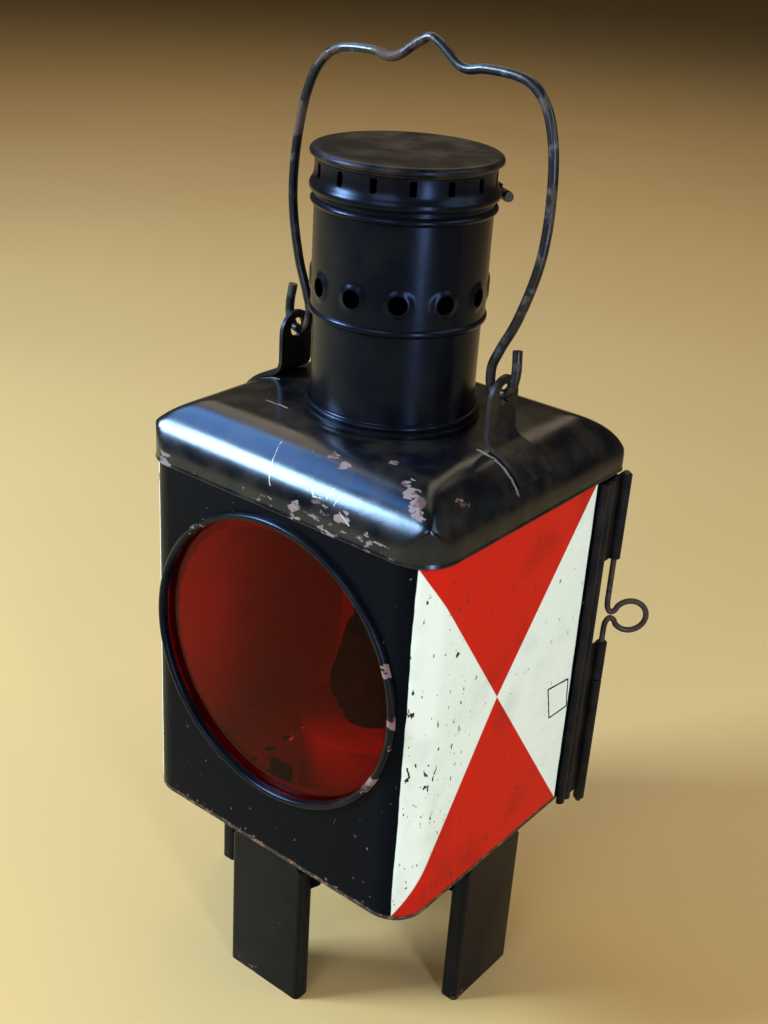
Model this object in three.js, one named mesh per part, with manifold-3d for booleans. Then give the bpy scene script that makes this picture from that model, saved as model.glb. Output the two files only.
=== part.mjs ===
import * as THREE from 'three';
import { mergeVertices } from 'three/addons/utils/BufferGeometryUtils.js';
import Module from 'manifold-3d';

const wasm = await Module();
wasm.setup();

// Railway signal lamp: a painted sheet-steel oil lamp on four lamp-iron sockets.
// Millimetres, +Z up. The part is drawn round the burner's axis, with the front
// glass towards -Y, and then set so that its origin is the middle of its base.

// Sheet and fits
const sheet = 0.9;
const heavySheet = 1.4;
const fitGap = 0.3;
const overrun = 2;
const roundSides = 28;
const smallSides = 12;
const ventSides = 10;
const arcSteps = 6;

// Case
const caseWidth = 160;
const frontY = -74;
const caseRearY = 68.7;
const caseHeight = 176.4;
const caseCorner = 16.3;
const rearFlange = 9;
const doorSill = 10;
const doorHead = 9;
const panLip = 2;
const panUpstand = 6;
const ventRadius = 3;
const ventRowX = 53;
const ventPitch = 13;
const ventsPerRow = 5;

// Roof
const roofRise = 26.9;
const roofRound = 24.4;
const roofRearLap = 5.1;
const roofRearCorner = 4.8;
const roofHemHeight = 1.4;
const roofHemProud = 0.5;

// Front glass
const glassHeadroom = 4.2;
const openingRadius = 66.2;
const openingLap = 1.5;
const glassLap = 2.2;
const glassThickness = 3.2;
const glassSetback = 0.3;
const glassCrown = 1.4;
const bezelWidth = 3.4;
const bezelCrest = 3.1;
const bezelThroat = 0.9;
const retainerWidth = 6;
const retainerTabWidth = 12;
const retainerTabFoot = 7;
const retainerTabs = 4;

// Chimney and its lid
const flueRadius = 36.3;
const flueTuck = 7.3;
const stackRise = 43.5;
const stackLength = 55.2;
const flueLap = 7.2;
const stackBead = 0.9;
const stackBeadHeight = 3.4;
const rimBead = 1.7;
const rimBeadDrop = 9.6;
const rimBeadHeight = 3.6;
const ventHoleRise = 13.9;
const ventHoleRadius = 4;
const ventCollarRadius = 5.8;
const ventCollarProud = 0.9;
const ventHoles = 12;
const ventHoleStart = 7.5;
const footRingProud = 2.9;
const footRingHeight = 5.2;
const lidLap = 4;
const lidBandProud = 1.5;
const lidBandHeight = 13;
const lidBeadProud = 2;
const lidBeadHeight = 4.2;
const lidRimProud = 2.3;
const lidRimHeight = 2.2;
const lidDome = 4.4;
const lidSlots = 15;
const lidSlotWidth = 3;
const lidSlotHeight = 6;
const lidSlotRise = 9.3;

// Lid hinge
const lidHingeAngle = 57;
const lidHingeProud = 7.7;
const lidKnuckleRadius = 2.3;
const lidPinRadius = 1;
const lidPinHead = 0.8;
const lidKnuckleWidth = 5;
const lidForkWidth = 3;

// Bail and its ears
const earThickness = 2;
const earWidth = 20;
const earFootWidth = 26;
const earRise = 30.3;
const pivotRise = 22.4;
const earHoleRadius = 4.4;
const earFootAngle = 34;
const bailWire = 4.5;
const bailLean = 4.5;
const bailHeight = 133;
const bailSpread = 9.7;
const bailHookReach = 4.8;
const bailHookHeight = 19;
const bailSides = 8;
const bailSteps = 70;

// Rails, rear door and latch
const railBandInset = 15.3;
const railBandWidth = 10.7;
const railBandProud = 3;
const railTopGap = 1.6;
const railDrop = 3;
const tubeSideReach = 2.5;
const tubeRearReach = 4.3;
const tubeRadius = 3.5;
const tubeDrop = 8.6;
const windowTopShare = 0.7426;
const windowBottomShare = 0.4819;
const tubeSplitShare = 0.3628;
const tubeSplit = 0.6;
const rearWire = 3;
const doorSideGap = 1.7;
const doorTopGap = 1.4;
const doorBottomZ = 3;
const doorHem = 6;
const doorPressSideMargin = 26.3;
const doorPressEndMargin = 28;
const doorPressRadius = 14;
const doorPressDepth = 1.6;
const latchAngle = 40;
const latchTopGap = 0.6;
const latchDrop = 10.5;
const latchEyeShare = 0.567;
const latchEyeReach = 13.5;
const latchEyeRadius = 6.2;
const latchNeck = 2;
const latchBend = 6;
const latchSteps = 50;

// Lamp-iron sockets
const socketWidth = 44.6;
const socketDepth = 9;
const socketLength = 81;
const socketCorner = 2.4;
const socketChamfer = 6;
const bracketWidth = 51;
const bracketDrop = 18;
const bracketFlange = 14;
const bracketCorner = 5;

// Oil tank and burner
const tankRadius = 34;
const tankHeight = 40;
const tankBead = 1.4;
const tankMouth = 12;
const tankDish = 3;
const capRadius = 5.6;
const capHeight = 5;
const capInset = 8.5;
const capAngle = 130;
const clipLength = 14;
const clipWidth = 11;
const clipHeight = 8;
const clipGap = 3.05;
const galleryRadius = 18;
const galleryHeight = 14;
const coneRadius = 21;
const coneHeight = 34;
const coneMouthLength = 24;
const coneMouthWidth = 9;
const wickWidth = 20;
const wickThickness = 2;
const wickBottomZ = 12;
const wickTopZ = 79;
const wickTubeBottomZ = 34;
const wickTubeTopZ = 77;
const wheelRadius = 3.6;
const wheelWidth = 5;
const wheelTeeth = 10;
const toothDepth = 0.5;
const winderRadius = 1.1;
const winderZ = 50.5;
const winderStart = 9;
const winderEnd = 44;
const knobRadius = 7.5;
const knobThickness = 4;
const knobLobes = 12;
const knobLobeDepth = 0.6;

// Reflector
const reflectorRadius = 40;
const reflectorDepth = 11;
const reflectorRearGap = 25.7;
const reflectorRaise = 0.4;
const stripWidth = 14;

// Worked out from the sizes above
const halfWidth = caseWidth / 2;
const caseTopZ = caseHeight + roofHemHeight + sheet;
const caseBottomZ = panLip + fitGap;
const floorZ = sheet;
const roofTopZ = caseHeight + roofRise;
const roofHalfWidth = halfWidth + fitGap + sheet;
const roofFrontY = frontY - fitGap - sheet;
const roofRearY = caseRearY + roofRearLap;
const glassRadius = openingRadius + glassLap;
const bezelRadius = openingRadius + bezelWidth;
const glassCentreZ = caseHeight - glassHeadroom - bezelRadius;
const flueBottomZ = roofTopZ - flueTuck;
const stackRadius = flueRadius + fitGap + sheet;
const stackBottomZ = roofTopZ + stackRise;
const stackTopZ = stackBottomZ + stackLength;
const flueTopZ = stackBottomZ + flueLap;
const rimBeadBottomZ = stackTopZ - rimBeadDrop;
const rimBeadTopZ = rimBeadBottomZ + rimBeadHeight;
const ventHoleZ = stackBottomZ + ventHoleRise;
const footRingRadius = flueRadius + footRingProud;
const lidBottomZ = stackTopZ - lidLap;
const lidBandRadius = flueRadius + lidBandProud;
const lidBandTopZ = lidBottomZ + lidBandHeight;
const lidBeadRadius = lidBandRadius + lidBeadProud;
const lidRimRadius = lidBandRadius + lidRimProud;
const lidSlotZ = lidBottomZ + lidSlotRise;
const lidHingeReach = flueRadius + lidHingeProud;
const earX = roofHalfWidth - roofRound;
const earTopZ = roofTopZ + earRise;
const pivotZ = roofTopZ + pivotRise;
const bailHalfWidth = earX + bailSpread;
const bailHookX = earX + bailHookReach;
const railBandStartY = caseRearY - railBandInset;
const tubeX = halfWidth + tubeSideReach;
const tubeY = caseRearY + tubeRearReach;
const tubeTopZ = caseHeight - railTopGap;
const tubeBottomZ = -tubeDrop;
const windowTopZ = caseHeight * windowTopShare;
const windowBottomZ = caseHeight * windowBottomShare;
const tubeSplitZ = caseHeight * tubeSplitShare;
const doorY = caseRearY + fitGap;
const doorEdgeX = halfWidth - doorSideGap;
const doorTopZ = caseHeight - doorTopGap;
const doorPressWidth = (doorEdgeX - doorPressSideMargin) * 2;
const doorPressHeight = doorTopZ - doorBottomZ - doorPressEndMargin * 2;
const latchTopZ = caseHeight - latchTopGap;
const latchBottomZ = -latchDrop;
const latchEyeZ = caseHeight * latchEyeShare;
const reflectorRimY = caseRearY - reflectorRearGap;
const reflectorZ = glassCentreZ + reflectorRaise;
const latchRadius = latchEyeReach + latchEyeRadius;
const tankTopZ = floorZ + fitGap + tankHeight;
const capOffset = tankRadius - capInset;
const clipReach = (tankRadius + clipGap) * Math.SQRT1_2;
const galleryBottomZ = tankTopZ + fitGap;
const coneBottomZ = galleryBottomZ + galleryHeight + fitGap;
const winderY = wickThickness / 2 + fitGap + wheelRadius;
const degree = Math.PI / 180;

// Materials
function finish(color, roughness, metalness) {
  return new THREE.MeshStandardMaterial({ color, roughness, metalness });
}
const blackPaint = () => finish(0x17171b, 0.3, 0.2);
const wornBlack = () => finish(0x2a2726, 0.5, 0.3);
const wireSteel = () => finish(0x4b4748, 0.45, 0.8);
const redGlass = () => finish(0x6b0f10, 0.08, 0);
const tinned = () => finish(0xb9b9b2, 0.35, 0.9);
const brass = () => finish(0xb08a45, 0.35, 0.9);
const sidePaint = () => finish(0x1d1c1e, 0.35, 0.2);
const cotton = () => finish(0xd8cfb8, 0.95, 0);

// Mesh helpers
function welded(geometry) {
  const bare = geometry.index ? geometry.toNonIndexed() : geometry.clone();
  for (const name of Object.keys(bare.attributes)) {
    if (name !== 'position') bare.deleteAttribute(name);
  }
  const merged = mergeVertices(bare);
  const source = merged.index.array;
  const kept = [];
  for (let i = 0; i < source.length; i += 3) {
    const [a, b, c] = [source[i], source[i + 1], source[i + 2]];
    if (a !== b && b !== c && c !== a) kept.push(a, b, c);
  }
  merged.setIndex(kept);
  return merged;
}

function solid(geometry) {
  const mesh = welded(geometry);
  const vertProperties = new Float32Array(mesh.attributes.position.array);
  const triVerts = new Uint32Array(mesh.index.array);
  return new wasm.Manifold(new wasm.Mesh({ numProp: 3, vertProperties, triVerts }));
}

function geometryOf(body) {
  const mesh = body.getMesh();
  const geometry = new THREE.BufferGeometry();
  geometry.setAttribute('position', new THREE.Float32BufferAttribute(mesh.vertProperties, 3));
  geometry.setIndex(Array.from(mesh.triVerts));
  return geometry;
}

function joined(...geometries) {
  return geometryOf(geometries.map(solid).reduce((sum, next) => sum.add(next)));
}

function cut(geometry, ...tools) {
  return geometryOf(tools.map(solid).reduce((rest, tool) => rest.subtract(tool), solid(geometry)));
}

function common(...geometries) {
  return geometryOf(geometries.map(solid).reduce((shared, next) => shared.intersect(next)));
}

function piece(name, geometry, material) {
  const mesh = new THREE.Mesh(welded(geometry), material);
  mesh.geometry.computeVertexNormals();
  mesh.name = name;
  return mesh;
}

function group(...members) {
  const set = new THREE.Group();
  set.add(...members);
  return set;
}

// A box from its low corner to its high corner
function block(low, high) {
  const size = high.map((value, i) => value - low[i]);
  const box = new THREE.BoxGeometry(...size);
  return box.translate(...low.map((value, i) => value + size[i] / 2));
}

// An outline in X and Y, raised between two heights
function prism(shape, bottom, top, curveSegments = arcSteps) {
  const options = { depth: top - bottom, bevelEnabled: false, curveSegments };
  return new THREE.ExtrudeGeometry(shape, options).translate(0, 0, bottom);
}

// An outline drawn in X and Z, carried along Y
function prismAlongY(shape, low, high, curveSegments = arcSteps) {
  return prism(shape, -high, -low, curveSegments).rotateX(Math.PI / 2);
}

// An outline drawn in Y and Z, carried along X
function prismAlongX(shape, low, high, curveSegments = arcSteps) {
  return prism(shape, low, high, curveSegments).rotateX(Math.PI / 2).rotateZ(Math.PI / 2);
}

function polygon(points) {
  return new THREE.Shape(points.map(([x, y]) => new THREE.Vector2(x, y)));
}

// A closed profile of radius and height, turned round Z
function turned(profile, sides = roundSides) {
  const points = profile.map(([r, z]) => new THREE.Vector2(r, z));
  const first = points[0];
  const last = points[points.length - 1];
  if (first.x > 0 || last.x > 0) points.push(first.clone());
  return new THREE.LatheGeometry(points, sides).rotateX(Math.PI / 2);
}

// A turned skin of even thickness inside an outer profile that climbs
function skin(outer, thickness, sides = roundSides) {
  const inner = outer.map(([r, z]) => [r - thickness, z]).reverse();
  return turned([...outer, ...inner], sides);
}

function rod(radius, start, end, sides = smallSides) {
  const length = end - start;
  const bar = new THREE.CylinderGeometry(radius, radius, length, sides);
  return bar.rotateX(Math.PI / 2).translate(0, 0, start + length / 2);
}

function rodAlongX(radius, start, end, sides = smallSides) {
  return rod(radius, start, end, sides).rotateY(Math.PI / 2);
}

function rodAlongY(radius, start, end, sides = smallSides) {
  return rod(radius, -end, -start, sides).rotateX(Math.PI / 2);
}

// A round wire along a path
function wire(path, diameter, sides, steps) {
  const section = new THREE.Shape();
  for (let i = 0; i < sides; i += 1) {
    const turn = (i / sides) * Math.PI * 2;
    const x = Math.cos(turn) * diameter / 2;
    const y = Math.sin(turn) * diameter / 2;
    if (i === 0) section.moveTo(x, y);
    else section.lineTo(x, y);
  }
  return new THREE.ExtrudeGeometry(section, { steps, bevelEnabled: false, extrudePath: path });
}

// A rectangle with round corners: low and high corners, front and rear corner radii
function roundedPlan([x0, y0], [x1, y1], front, rear) {
  const shape = new THREE.Shape();
  shape.moveTo(x0 + front, y0);
  shape.lineTo(x1 - front, y0);
  shape.absarc(x1 - front, y0 + front, front, -Math.PI / 2, 0, false);
  shape.lineTo(x1, y1 - rear);
  if (rear > 0) shape.absarc(x1 - rear, y1 - rear, rear, 0, Math.PI / 2, false);
  shape.lineTo(x0 + rear, y1);
  if (rear > 0) shape.absarc(x0 + rear, y1 - rear, rear, Math.PI / 2, Math.PI, false);
  shape.lineTo(x0, y0 + front);
  shape.absarc(x0 + front, y0 + front, front, Math.PI, Math.PI * 1.5, false);
  return shape;
}

// Case: one bent sheet for front and sides, with flanges round the rear doorway
function casePlan(inset, rearInset) {
  const low = [-halfWidth + inset, frontY + inset];
  const high = [halfWidth - inset, caseRearY - rearInset];
  return roundedPlan(low, high, caseCorner - inset, 0);
}

function caseShell() {
  const outer = prism(casePlan(0, 0), caseBottomZ, caseTopZ);
  const hollow = prism(casePlan(sheet, sheet), -overrun, caseTopZ + overrun);
  const doorwayX = halfWidth - rearFlange;
  const doorway = block(
    [-doorwayX, caseRearY - sheet - overrun, doorSill],
    [doorwayX, caseRearY + overrun, caseHeight - doorHead],
  );
  const opening = rodAlongY(openingRadius + openingLap, -overrun, caseCorner + overrun, roundSides);
  opening.translate(0, frontY, glassCentreZ);
  return cut(outer, hollow, doorway, opening);
}

function bottomPan() {
  const lip = prism(casePlan(0, 0), 0, panLip);
  const inset = sheet + fitGap;
  const upstand = prism(casePlan(inset, inset), 0, panLip + panUpstand);
  const pocketInset = inset + sheet;
  const pocket = prism(casePlan(pocketInset, pocketInset), floorZ, panLip + panUpstand + overrun);
  const vents = [];
  for (const side of [-1, 1]) {
    for (let i = 0; i < ventsPerRow; i += 1) {
      const y = (i - (ventsPerRow - 1) / 2) * ventPitch;
      const vent = rod(ventRadius, -overrun, floorZ + overrun, ventSides);
      vents.push(vent.translate(side * ventRowX, y, 0));
    }
  }
  return cut(joined(lip, upstand), pocket, ...vents);
}

// Roof: two arched prisms cross in a mitre over a round-cornered plan
function archProfile(low, high, bottom, top, radius) {
  const shape = new THREE.Shape();
  shape.moveTo(low, bottom);
  shape.lineTo(high, bottom);
  shape.lineTo(high, top - radius);
  shape.absarc(high - radius, top - radius, radius, 0, Math.PI / 2, false);
  shape.lineTo(low + radius, top);
  shape.absarc(low + radius, top - radius, radius, Math.PI / 2, Math.PI, false);
  shape.closePath();
  return shape;
}

function roofPlan(inset) {
  const corner = caseCorner + fitGap + sheet - inset;
  const low = [-roofHalfWidth + inset, roofFrontY + inset];
  const high = [roofHalfWidth - inset, roofRearY - inset];
  return roundedPlan(low, high, corner, roofRearCorner - inset);
}

function roofBody(inset, bottom) {
  const top = roofTopZ - inset;
  const radius = roofRound - inset;
  const x = roofHalfWidth - inset;
  const front = roofFrontY + inset;
  const rear = roofRearY - inset;
  const across = archProfile(-x, x, bottom, top, radius);
  const along = archProfile(front, rear, bottom, top, radius);
  return common(
    prismAlongY(across, roofFrontY - overrun, roofRearY + overrun),
    prismAlongX(along, -roofHalfWidth - overrun, roofHalfWidth + overrun),
    prism(roofPlan(inset), bottom, roofTopZ + overrun),
  );
}

function roof() {
  const hem = prism(roofPlan(-roofHemProud), caseHeight, caseHeight + roofHemHeight);
  const hollow = roofBody(sheet, caseHeight - overrun);
  const fluehole = rod(flueRadius + fitGap, caseHeight, roofTopZ + overrun, roundSides);
  return cut(joined(roofBody(0, caseHeight), hem), hollow, fluehole);
}

// Front glass, its rolled bezel and the ring that holds it from inside
function facingFront(profile, sides = roundSides) {
  return turned(profile, sides).rotateX(Math.PI / 2).translate(0, frontY, glassCentreZ);
}

function lensBezel() {
  const crest = (openingRadius + bezelRadius) / 2;
  const rollShare = 0.3;
  const lipShare = 0.45;
  const roll = (bezelRadius - openingRadius) * rollShare;
  return facingFront([
    [openingRadius, -bezelThroat],
    [openingRadius + sheet, -bezelThroat],
    [openingRadius + sheet, fitGap],
    [bezelRadius, fitGap],
    [bezelRadius, bezelCrest * lipShare],
    [crest + roll, bezelCrest - roll * rollShare],
    [crest, bezelCrest],
    [crest - roll, bezelCrest - roll * rollShare],
    [openingRadius, bezelCrest * lipShare],
  ], roundSides * 1.5);
}

function lensGlass() {
  const back = -glassSetback - glassThickness;
  const shoulderShare = 0.6;
  const bowShare = 0.64;
  return facingFront([
    [0, back],
    [glassRadius, back],
    [glassRadius, -glassSetback - glassCrown],
    [glassRadius * shoulderShare, -glassSetback - glassCrown * (1 - bowShare)],
    [0, -glassSetback],
  ], roundSides);
}

function lensRetainer() {
  const front = -glassSetback - glassThickness - fitGap;
  const ring = facingFront([
    [glassRadius - retainerWidth, front - sheet],
    [glassRadius, front - sheet],
    [glassRadius, front],
    [glassRadius - retainerWidth, front],
  ]);
  const tabs = [];
  for (let i = 0; i < retainerTabs; i += 1) {
    const inner = -sheet - fitGap;
    const start = glassRadius + fitGap;
    const half = retainerTabWidth / 2;
    const link = block([glassRadius - sheet, -half, front - sheet], [start + sheet, half, front]);
    const post = block([start, -half, front - sheet], [start + sheet, half, inner]);
    const foot = block([start, -half, inner - sheet], [start + retainerTabFoot, half, inner]);
    const tab = joined(link, post, foot).rotateZ((i + 1 / 2) * Math.PI * 2 / retainerTabs);
    tabs.push(tab.rotateX(Math.PI / 2).translate(0, frontY, glassCentreZ));
  }
  return joined(ring, ...tabs);
}

// Chimney
function footRing() {
  const inner = flueRadius + fitGap;
  const proud = footRingRadius - inner;
  const base = roofTopZ + fitGap;
  const lowShare = 0.3;
  const waistShare = 0.45;
  const highShare = 0.75;
  return turned([
    [inner, base],
    [footRingRadius, base],
    [footRingRadius, base + footRingHeight * lowShare],
    [inner + proud * waistShare, base + footRingHeight * waistShare],
    [inner + proud * highShare, base + footRingHeight * highShare],
    [inner + proud * waistShare, base + footRingHeight],
    [inner, base + footRingHeight],
  ]);
}

function flueTube() {
  return skin([[flueRadius, flueBottomZ], [flueRadius, flueTopZ]], sheet);
}

// The stack climbs from a bead over the flue to a rim bead under the lid
function stackTube() {
  const beadTop = stackBottomZ + stackBeadHeight;
  const bulgeShare = 0.3;
  const outer = [
    [stackRadius, stackBottomZ],
    [stackRadius + stackBead, stackBottomZ + stackBeadHeight * bulgeShare],
    [stackRadius + stackBead, beadTop - stackBeadHeight * bulgeShare],
    [stackRadius, beadTop],
    [stackRadius, rimBeadBottomZ],
    [stackRadius + rimBead, rimBeadBottomZ + rimBeadHeight * bulgeShare],
    [stackRadius + rimBead, rimBeadTopZ - rimBeadHeight * bulgeShare],
    [stackRadius, rimBeadTopZ],
    [stackRadius, stackTopZ],
  ];
  const tube = skin(outer, sheet);
  const collars = [];
  const holes = [];
  for (let i = 0; i < ventHoles; i += 1) {
    const angle = (ventHoleStart + (i * 360) / ventHoles) * degree;
    const start = stackRadius - sheet / 2;
    const end = stackRadius + ventCollarProud;
    const mouth = ventHoleRadius + sheet;
    const collar = new THREE.CylinderGeometry(mouth, ventCollarRadius, end - start, ventSides);
    collar.rotateZ(-Math.PI / 2).translate((start + end) / 2, 0, ventHoleZ);
    collars.push(collar.rotateZ(angle));
    const hole = rodAlongX(ventHoleRadius, stackRadius - overrun * 2, end + overrun, ventSides);
    holes.push(hole.translate(0, 0, ventHoleZ).rotateZ(angle));
  }
  return cut(joined(tube, ...collars), ...holes);
}

// Lid: a slotted gallery under a domed cap
function lidGallery() {
  const flareShares = [[0.5, 0], [1, 0.3], [1, 0.65], [0.35, 1.25], [0, 2.2]];
  const flare = flareShares.map(([out, up]) => [
    lidBandRadius + lidBeadProud * out,
    lidBottomZ + lidBeadHeight * up,
  ]);
  const outer = [...flare, [lidBandRadius, lidBandTopZ]];
  const slots = [];
  for (let i = 0; i < lidSlots; i += 1) {
    const low = [lidBandRadius - sheet - overrun, -lidSlotWidth / 2, lidSlotZ - lidSlotHeight / 2];
    const high = [lidBandRadius + overrun, lidSlotWidth / 2, lidSlotZ + lidSlotHeight / 2];
    slots.push(block(low, high).rotateZ((i / lidSlots) * Math.PI * 2));
  }
  return cut(skin(outer, sheet), ...slots);
}

function lidCap() {
  const base = lidBandTopZ + fitGap;
  const crown = base + lidRimHeight;
  const midShare = 0.62;
  const midRiseShare = 0.62;
  const rimShare = 0.25;
  return turned([
    [0, crown + lidDome - sheet * 2],
    [lidRimRadius * midShare, crown + lidDome * midRiseShare - sheet * 2],
    [lidBandRadius - sheet - fitGap, base],
    [lidRimRadius, base],
    [lidRimRadius + sheet * rimShare, base + lidRimHeight / 2],
    [lidRimRadius, crown],
    [lidRimRadius * midShare, crown + lidDome * midRiseShare],
    [0, crown + lidDome],
  ]);
}

// Lid hinge, drawn with its reach along X and its pin along Y
const hingeZ = rimBeadTopZ + fitGap + sheet / 2;
const knuckleBore = lidPinRadius + fitGap;

function hingeKnuckle(low, high) {
  return rodAlongY(lidKnuckleRadius, low, high).translate(lidHingeReach, 0, hingeZ);
}

function hingeBore() {
  const reach = lidKnuckleWidth + lidForkWidth + overrun;
  return rodAlongY(knuckleBore, -reach, reach).translate(lidHingeReach, 0, hingeZ);
}

function hingeLug() {
  const half = lidKnuckleWidth / 2;
  const start = stackRadius + fitGap * 2;
  const leaf = block([start, -half, hingeZ - sheet / 2], [lidHingeReach, half, hingeZ + sheet / 2]);
  return cut(joined(leaf, hingeKnuckle(-half, half)), hingeBore()).rotateZ(lidHingeAngle * degree);
}

function hingeFork() {
  const inner = lidKnuckleWidth / 2 + fitGap;
  const outer = inner + lidForkWidth;
  const armTop = hingeZ + lidKnuckleRadius;
  const back = lidBeadRadius + fitGap;
  const armBottom = armTop - sheet;
  const post = block([back, -outer, armBottom], [back + sheet, outer, lidBottomZ + lidBeadHeight]);
  const arm = block([back, -outer, armBottom], [lidHingeReach, outer, armTop]);
  const slotStart = back + sheet;
  const slotLow = [slotStart, -inner, hingeZ - lidKnuckleRadius - overrun];
  const slot = block(slotLow, [lidHingeReach + lidKnuckleRadius + overrun, inner, armTop + overrun]);
  const body = joined(post, arm, hingeKnuckle(-outer, -inner), hingeKnuckle(inner, outer));
  return cut(body, slot, hingeBore()).rotateZ(lidHingeAngle * degree);
}

function hingePin() {
  const reach = lidKnuckleWidth / 2 + fitGap + lidForkWidth + fitGap;
  const shank = rodAlongY(lidPinRadius, -reach - lidPinHead / 2, reach + lidPinHead / 2);
  const heads = [-1, 1].map((side) => {
    const headRadius = knuckleBore + lidPinHead;
    const [low, high] = side > 0 ? [reach, reach + lidPinHead] : [-reach - lidPinHead, -reach];
    return rodAlongY(headRadius, low, high);
  });
  const pin = joined(shank, ...heads).translate(lidHingeReach, 0, hingeZ);
  return pin.rotateZ(lidHingeAngle * degree);
}

// Ears: an eye plate over a foot that follows the roof's rounded edge
function ear() {
  const base = roofTopZ + fitGap;
  const half = earWidth / 2;
  const plate = new THREE.Shape();
  plate.moveTo(-half, base);
  plate.lineTo(half, base);
  plate.lineTo(half, earTopZ - half);
  plate.absarc(0, earTopZ - half, half, 0, Math.PI, false);
  plate.closePath();
  const upright = prismAlongX(plate, earX, earX + earThickness);
  const strip = new THREE.Shape();
  const centreX = roofHalfWidth - roofRound;
  const centreZ = roofTopZ - roofRound;
  const inner = roofRound + fitGap;
  const start = earFootAngle * degree;
  strip.absarc(centreX, centreZ, inner + earThickness, start, Math.PI / 2, false);
  strip.absarc(centreX, centreZ, inner, Math.PI / 2, start, true);
  strip.closePath();
  const foot = prismAlongY(strip, -earFootWidth / 2, earFootWidth / 2);
  const eye = rodAlongX(earHoleRadius, earX - overrun, earX + earThickness + overrun);
  eye.translate(0, 0, pivotZ);
  return cut(joined(upright, foot), eye);
}

// Bail: from its peak down over both shoulders and out through the ears
function bail() {
  const halfShares = [
    [0, 1], [0.075, 0.985], [0.225, 0.936], [0.3, 0.927], [0.42, 0.936], [0.73, 0.922], [0.86, 0.87],
    [0.95, 0.77], [1, 0.6], [0.99, 0.42], [0.89, 0.23], [0.8, 0.13], [0.757, 0.065],
  ];
  const side = halfShares.map(([x, h]) => [x * bailHalfWidth, h * bailHeight]);
  const throughX = earX + earThickness;
  const elbowShare = 0.82;
  const hook = [
    [earX - bailWire, 0], [throughX, 0], [bailHookX, bailWire * elbowShare],
    [bailHookX + sheet, bailHookHeight / 2], [bailHookX, bailHookHeight],
  ];
  const right = [...side, ...hook];
  const left = right.slice(1).map(([x, h]) => [-x, h]).reverse();
  const points = [...left, ...right].map(([x, h]) => new THREE.Vector3(x, 0, h));
  const path = new THREE.CatmullRomCurve3(points, false, 'centripetal');
  const body = wire(path, bailWire, bailSides, bailSteps);
  return body.rotateX(-bailLean * degree).translate(0, 0, pivotZ);
}

// Rails: a ridged band on each side wall that ends in rolled tubes
function railBand() {
  const start = railBandStartY;
  const end = start + railBandWidth;
  const inner = halfWidth + fitGap;
  const ridge = railBandWidth / 4;
  const shape = new THREE.Shape();
  shape.moveTo(inner, start);
  shape.lineTo(inner + railBandProud - ridge, start);
  for (const centre of [start + ridge, end - ridge]) {
    shape.absarc(inner + railBandProud - ridge, centre, ridge, -Math.PI / 2, Math.PI / 2, false);
  }
  shape.lineTo(inner + sheet, end);
  shape.lineTo(inner + sheet, tubeY);
  shape.lineTo(inner, tubeY);
  shape.closePath();
  return prism(shape, -railDrop, caseHeight - railTopGap, arcSteps);
}

function rolledTube(bottom, top, bore) {
  const tube = rod(tubeRadius, bottom, top, smallSides).translate(tubeX, tubeY, 0);
  const hollow = rod(bore, bottom - overrun, top + overrun, smallSides).translate(tubeX, tubeY, 0);
  return { tube, hollow };
}

function railWindow(bottom, top) {
  const edge = railBandStartY + railBandWidth + fitGap;
  const reach = tubeRadius + overrun;
  return block([halfWidth - overrun, edge, bottom], [tubeX + reach, tubeY + reach, top]);
}

function rightRail() {
  const bore = rearWire / 2 + fitGap;
  const { tube, hollow } = rolledTube(tubeBottomZ, tubeTopZ, bore);
  const window = railWindow(windowBottomZ, windowTopZ);
  const split = railWindow(tubeSplitZ - tubeSplit, tubeSplitZ);
  return cut(joined(railBand(), tube), hollow, window, split);
}

function leftRail() {
  const bore = rearWire / 2 + fitGap;
  const { tube, hollow } = rolledTube(tubeBottomZ, tubeTopZ, bore);
  const window = railWindow(tubeSplitZ, windowTopZ);
  return mirrored(cut(joined(railBand(), tube), hollow, window));
}

function mirrored(geometry) {
  const mesh = welded(geometry).scale(-1, 1, 1);
  const index = mesh.index.array;
  for (let i = 0; i < index.length; i += 3) {
    [index[i + 1], index[i + 2]] = [index[i + 2], index[i + 1]];
  }
  return mesh;
}

// Rear door: a hemmed and pressed panel rolled round the left wire
function doorPanel() {
  const panel = block([-doorEdgeX, doorY, doorBottomZ], [doorEdgeX, doorY + sheet, doorTopZ]);
  const hems = block([-doorEdgeX, doorY, doorBottomZ], [doorEdgeX, doorY + sheet * 2, doorTopZ]);
  const inside = block(
    [-doorEdgeX + doorHem, doorY - overrun, doorBottomZ + doorHem],
    [doorEdgeX - doorHem, doorY + overrun * 2, doorTopZ - doorHem],
  );
  const middleZ = (doorTopZ + doorBottomZ) / 2;
  const pressY = doorY + doorPressDepth;
  const press = pressing(doorPressWidth, doorPressHeight, middleZ, doorY, pressY + sheet, 0);
  const recess = pressing(doorPressWidth, doorPressHeight, middleZ, doorY - overrun, pressY, sheet);
  const bottom = tubeSplitZ + tubeSplit;
  const top = windowTopZ - tubeSplit;
  const knuckle = rod(tubeRadius, bottom, top, smallSides).translate(-tubeX, tubeY, 0);
  const bore = rod(rearWire / 2 + fitGap, bottom - overrun, top + overrun, smallSides);
  bore.translate(-tubeX, tubeY, 0);
  const tongue = block([-tubeX, doorY, bottom], [-doorEdgeX + overrun, doorY + sheet, top]);
  const body = joined(panel, cut(hems, inside), press, knuckle, tongue);
  return cut(body, recess, bore);
}

function pressing(width, height, middleZ, low, high, inset) {
  const x = width / 2 - inset;
  const z = height / 2 - inset;
  const radius = doorPressRadius - inset;
  const outline = roundedPlan([-x, middleZ - z], [x, middleZ + z], radius, radius);
  return prismAlongY(outline, low, high);
}

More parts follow.
